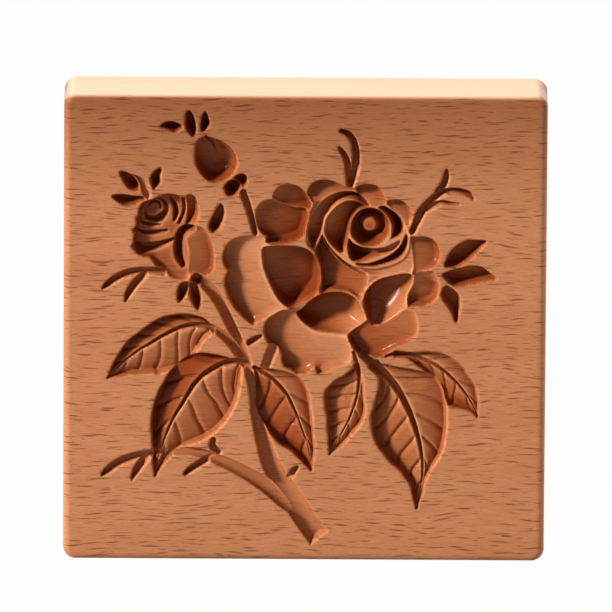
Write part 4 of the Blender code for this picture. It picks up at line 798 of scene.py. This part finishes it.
class Nodes:
    """A short way to write a material's node tree."""

    def __init__(self, tree):
        self.tree = tree

    def add(self, kind, inputs=None, **settings):
        node = self.tree.nodes.new(kind)
        for name, value in settings.items():
            setattr(node, name, value)
        for key, value in (inputs or {}).items():
            self.feed(node.inputs[key], value)
        return node

    def feed(self, socket, value):
        if isinstance(value, bpy.types.NodeSocket):
            self.tree.links.new(value, socket)
        else:
            socket.default_value = value

    def math(self, operation, a, b):
        return self.add("ShaderNodeMath", {0: a, 1: b}, operation=operation).outputs[0]

    def times(self, a, b):
        return self.math("MULTIPLY", a, b)

    def vector(self, operation, a, b):
        return self.add("ShaderNodeVectorMath", {0: a, 1: b}, operation=operation).outputs[0]

    def noise(self, place, repeats, detail, roughness):
        scaled = self.vector("MULTIPLY", place, repeats)
        node = self.add("ShaderNodeTexNoise", {"Vector": scaled, "Scale": 1.0, "Detail": detail,
                                               "Roughness": roughness})
        return node.outputs["Fac"]

    def ramp(self, value, low, high, to_low=0.0, to_high=1.0):
        node = self.add("ShaderNodeMapRange", {"Value": value, "From Min": low, "From Max": high,
                                               "To Min": to_low, "To Max": to_high})
        return node.outputs["Result"]

    def parts(self, vector):
        return self.add("ShaderNodeSeparateXYZ", {0: vector}).outputs

    def mix(self, share, a, b, blend="MIX"):
        node = self.add("ShaderNodeMix", data_type="RGBA", blend_type=blend)
        for index, value in ((0, share), (6, a), (7, b)):
            self.feed(node.inputs[index], value)
        return node.outputs[2]

    def seen(self):
        """1 for what the camera sees, straight, in a reflection or through glass; else 0."""
        rays = self.add("ShaderNodeLightPath").outputs
        seen = self.math("MAXIMUM", rays["Is Camera Ray"], rays["Is Glossy Ray"])
        return self.math("MAXIMUM", seen, rays["Is Transmission Ray"])


def flecks(n, place, cell, half, keep):
    """Ray flecks: short spindles of dark wood, one at most in each cell; 1 inside a fleck."""
    scaled = n.vector("DIVIDE", place, cell)
    cells = n.add("ShaderNodeTexVoronoi", {"Vector": scaled, "Scale": 1.0, "Randomness": 1.0},
                  voronoi_dimensions="3D", feature="F1")
    away = n.vector("SUBTRACT", scaled, cells.outputs["Position"])
    chance = n.add("ShaderNodeSeparateColor", {0: cells.outputs["Color"]})
    stretch = n.ramp(chance.outputs[0], 0.0, 1.0, *FLECK_STRETCH)
    length = n.times(stretch, half[0])
    size = n.add("ShaderNodeCombineXYZ", {0: length, 1: half[1], 2: half[2]})
    away = n.vector("DIVIDE", away, size.outputs[0])
    share = n.add("ShaderNodeVectorMath", {0: away}, operation="LENGTH")
    inside = n.ramp(share.outputs["Value"], 1.0, FLECK_CORE)
    strength = n.ramp(chance.outputs[1], 1 - keep, 1.0)
    return n.times(inside, n.math("POWER", strength, 0.5))


def linear(red, green, blue):
    """An sRGB colour from 0 to 255 as the linear colour that a shader takes."""
    def one(value):
        value = value / 255
        return value / 12.92 if value <= 0.04045 else ((value + 0.055) / 1.055) ** 2.4
    return (one(red), one(green), one(blue), 1.0)


def make_beech():
    """Oiled beech: grain and flecks by places on the block; oil, painted shade and painted highlights from
    its mesh.
    """
    material = bpy.data.materials.new("steamed_beech")
    material.use_nodes = True
    n = Nodes(material.node_tree)
    shader = material.node_tree.nodes["Principled BSDF"]
    object_place = n.add("ShaderNodeTexCoord").outputs["Object"]
    place = n.vector("MULTIPLY", object_place, (1 / MM, 1 / MM, 1 / MM))
    lift = n.add("ShaderNodeCombineXYZ", {2: n.ramp(n.noise(place, *WAVE), *WAVE_LIFT)})
    grain = n.vector("ADD", place, lift.outputs[0])

    bold = flecks(n, grain, *BOLD_FLECKS)
    fine = flecks(n, n.vector("ADD", grain, FINE_SHIFT), *FINE_FLECKS)
    fleck = n.math("MAXIMUM", bold, n.times(fine, FINE_STRENGTH))

    noises = {}
    wood = linear(*BEECH)
    for name, (noise, low, high, most, colour) in LAYERS.items():
        noises[name] = n.noise(place if name == "cloud" else grain, *noise)
        wood = n.mix(n.ramp(noises[name], low, high, 0.0, most), wood, linear(*colour))

    _across, back, up = n.parts(object_place)
    carved = n.times(n.ramp(back, *BELOW_FACE), n.ramp(back, *BEFORE_BACK))
    wood = n.mix(n.times(fleck, n.ramp(carved, *FLECK_SHARE)), wood, linear(*FLECK))
    # Painted shade: the upper part of the face darker, with a wavering edge.
    upper = n.ramp(n.math("ADD", up, n.ramp(noises["cloud"], *UPPER_WAVER)), *UPPER_PART)
    wood = n.mix(n.math("POWER", upper, UPPER_FALL), wood, UPPER_SHADE, "MULTIPLY")

    crest, hollow, tone = (n.add("ShaderNodeAttribute", attribute_name=name).outputs["Fac"]
                           for name in ("crest", "hollow", "tone"))
    # The cut wood darkened by its tone: partly the oil, partly painted shade.
    oil_and_shade = n.add("ShaderNodeCombineColor", {i: n.math("POWER", OIL_AND_SHADE_DARKEST[i], tone) for i in range(3)})
    wood = n.mix(1.0, wood, oil_and_shade.outputs[0], "MULTIPLY")
    # Painted shade in the hollows of the relief.
    wood = n.mix(n.times(hollow, HOLLOW_SHARE), wood, HOLLOW_SHADE, "MULTIPLY")
    # Painted highlight on crests, fading where the tone is dark.
    shine = n.times(n.ramp(crest, *CREST_SHARE), n.ramp(tone, *CREST_FADE_BY_TONE))
    wood = n.mix(shine, wood, linear(*CREST_HIGHLIGHT))
    # The top side paler: partly its own wood, partly painted light.
    facing = n.parts(n.add("ShaderNodeTexCoord").outputs["Normal"])[2]
    top = n.times(n.ramp(facing, *FACING_UP), n.ramp(tone, *UNCUT))
    n.feed(shader.inputs["Base Color"], n.mix(top, wood, linear(*TOP_SIDE_PALE_AND_LIT)))

    rough = n.math("ADD", n.ramp(noises["streak"], *ROUGH), n.times(fleck, FLECK_ROUGH))
    rough = n.math("SUBTRACT", rough, n.times(carved, CUT_SMOOTH))
    n.feed(shader.inputs["Roughness"], rough)
    shader.inputs["Specular IOR Level"].default_value = SPECULAR

    height = n.math("ADD", noises["pores"], n.times(noises["streak"], STREAK_HEIGHT))
    height = n.times(height, GRAIN_HEIGHT)
    height = n.math("SUBTRACT", height, n.times(fleck, FLECK_HEIGHT))
    height = n.times(height, n.ramp(carved, *CUT_HEIGHT))
    bump = n.add("ShaderNodeBump", {"Strength": BUMP_STRENGTH, "Distance": MM, "Height": height})
    n.feed(shader.inputs["Normal"], bump.outputs[0])
    return material


def make_stage():
    """A pale floor that looks white to the camera but for a trace of the object's shadow."""
    bpy.ops.mesh.primitive_plane_add(size=FLOOR_SIZE)
    floor = bpy.context.active_object
    floor.name = "floor"
    material = bpy.data.materials.new("pale_floor")
    material.use_nodes = True
    n = Nodes(material.node_tree)
    shader = material.node_tree.nodes["Principled BSDF"]
    shader.inputs["Base Color"].default_value = FLOOR_COLOUR
    shader.inputs["Roughness"].default_value = FLOOR_ROUGHNESS
    share = n.times(n.seen(), FLOOR_WHITE_SHARE)
    white = n.add("ShaderNodeEmission", {"Color": WHITE, "Strength": 1.0})
    both = n.add("ShaderNodeMixShader", {0: share, 1: shader.outputs[0], 2: white.outputs[0]})
    n.feed(material.node_tree.nodes["Material Output"].inputs["Surface"], both.outputs[0])
    floor.data.materials.append(material)


def make_world():
    """A world that is white where it is seen and lights weakly and warmly."""
    world = bpy.data.worlds.new("studio")
    bpy.context.scene.world = world
    world.use_nodes = True
    n = Nodes(world.node_tree)
    seen = n.seen()
    background = world.node_tree.nodes["Background"]
    n.feed(background.inputs["Color"], n.mix(seen, WORLD_COLOUR, WHITE))
    n.feed(background.inputs["Strength"], n.ramp(seen, 0.0, 1.0, WORLD_LIGHT, 1.0))


def add_lamp(name, direction, distance, size, power, colour):
    """A round area lamp that looks at the block's middle."""
    light = bpy.data.lights.new(name, "AREA")
    light.shape = "DISK"
    light.size = size
    light.energy = power
    light.color = colour
    holder = bpy.data.objects.new(name, light)
    bpy.context.scene.collection.objects.link(holder)
    direction = Vector(direction).normalized()
    holder.location = Vector((0, 0, SIDE / 2)) + direction * distance
    holder.rotation_euler = (-direction).to_track_quat("-Z", "Y").to_euler()


def make_camera():
    """The photograph's view; a small shift puts the block's middle on MIDDLE_PIXEL."""
    data = bpy.data.cameras.new("camera")
    camera = bpy.data.objects.new("camera", data)
    bpy.context.scene.collection.objects.link(camera)
    elevation = math.radians(CAMERA_ELEVATION)
    back = Vector((0, -math.cos(elevation), math.sin(elevation)))
    camera.location = Vector((0, 0, SIDE / 2)) + back * CAMERA_DISTANCE
    right = Matrix.Rotation(math.radians(CAMERA_ROLL), 3, back) @ Vector((1, 0, 0))
    up = back.cross(right)
    camera.rotation_euler = Matrix((right, up, back)).transposed().to_euler()
    data.sensor_width = SENSOR_WIDTH
    data.lens = PIXELS_PER_MM * CAMERA_DISTANCE / MM * SENSOR_WIDTH / FRAME_PIXELS
    data.shift_x = (FRAME_PIXELS / 2 - MIDDLE_PIXEL[0]) / FRAME_PIXELS
    data.shift_y = (MIDDLE_PIXEL[1] - FRAME_PIXELS / 2) / FRAME_PIXELS
    data.clip_end = CLIP_END
    bpy.context.scene.camera = camera


make_camera()
make_world()
for lamp in LAMPS:
    add_lamp(*lamp)
make_stage()
block = make_block()
block.data.materials.clear()
block.data.materials.append(make_beech())
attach(block, "root")
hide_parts("carved_block")

bpy.context.scene.view_settings.view_transform = "Standard"
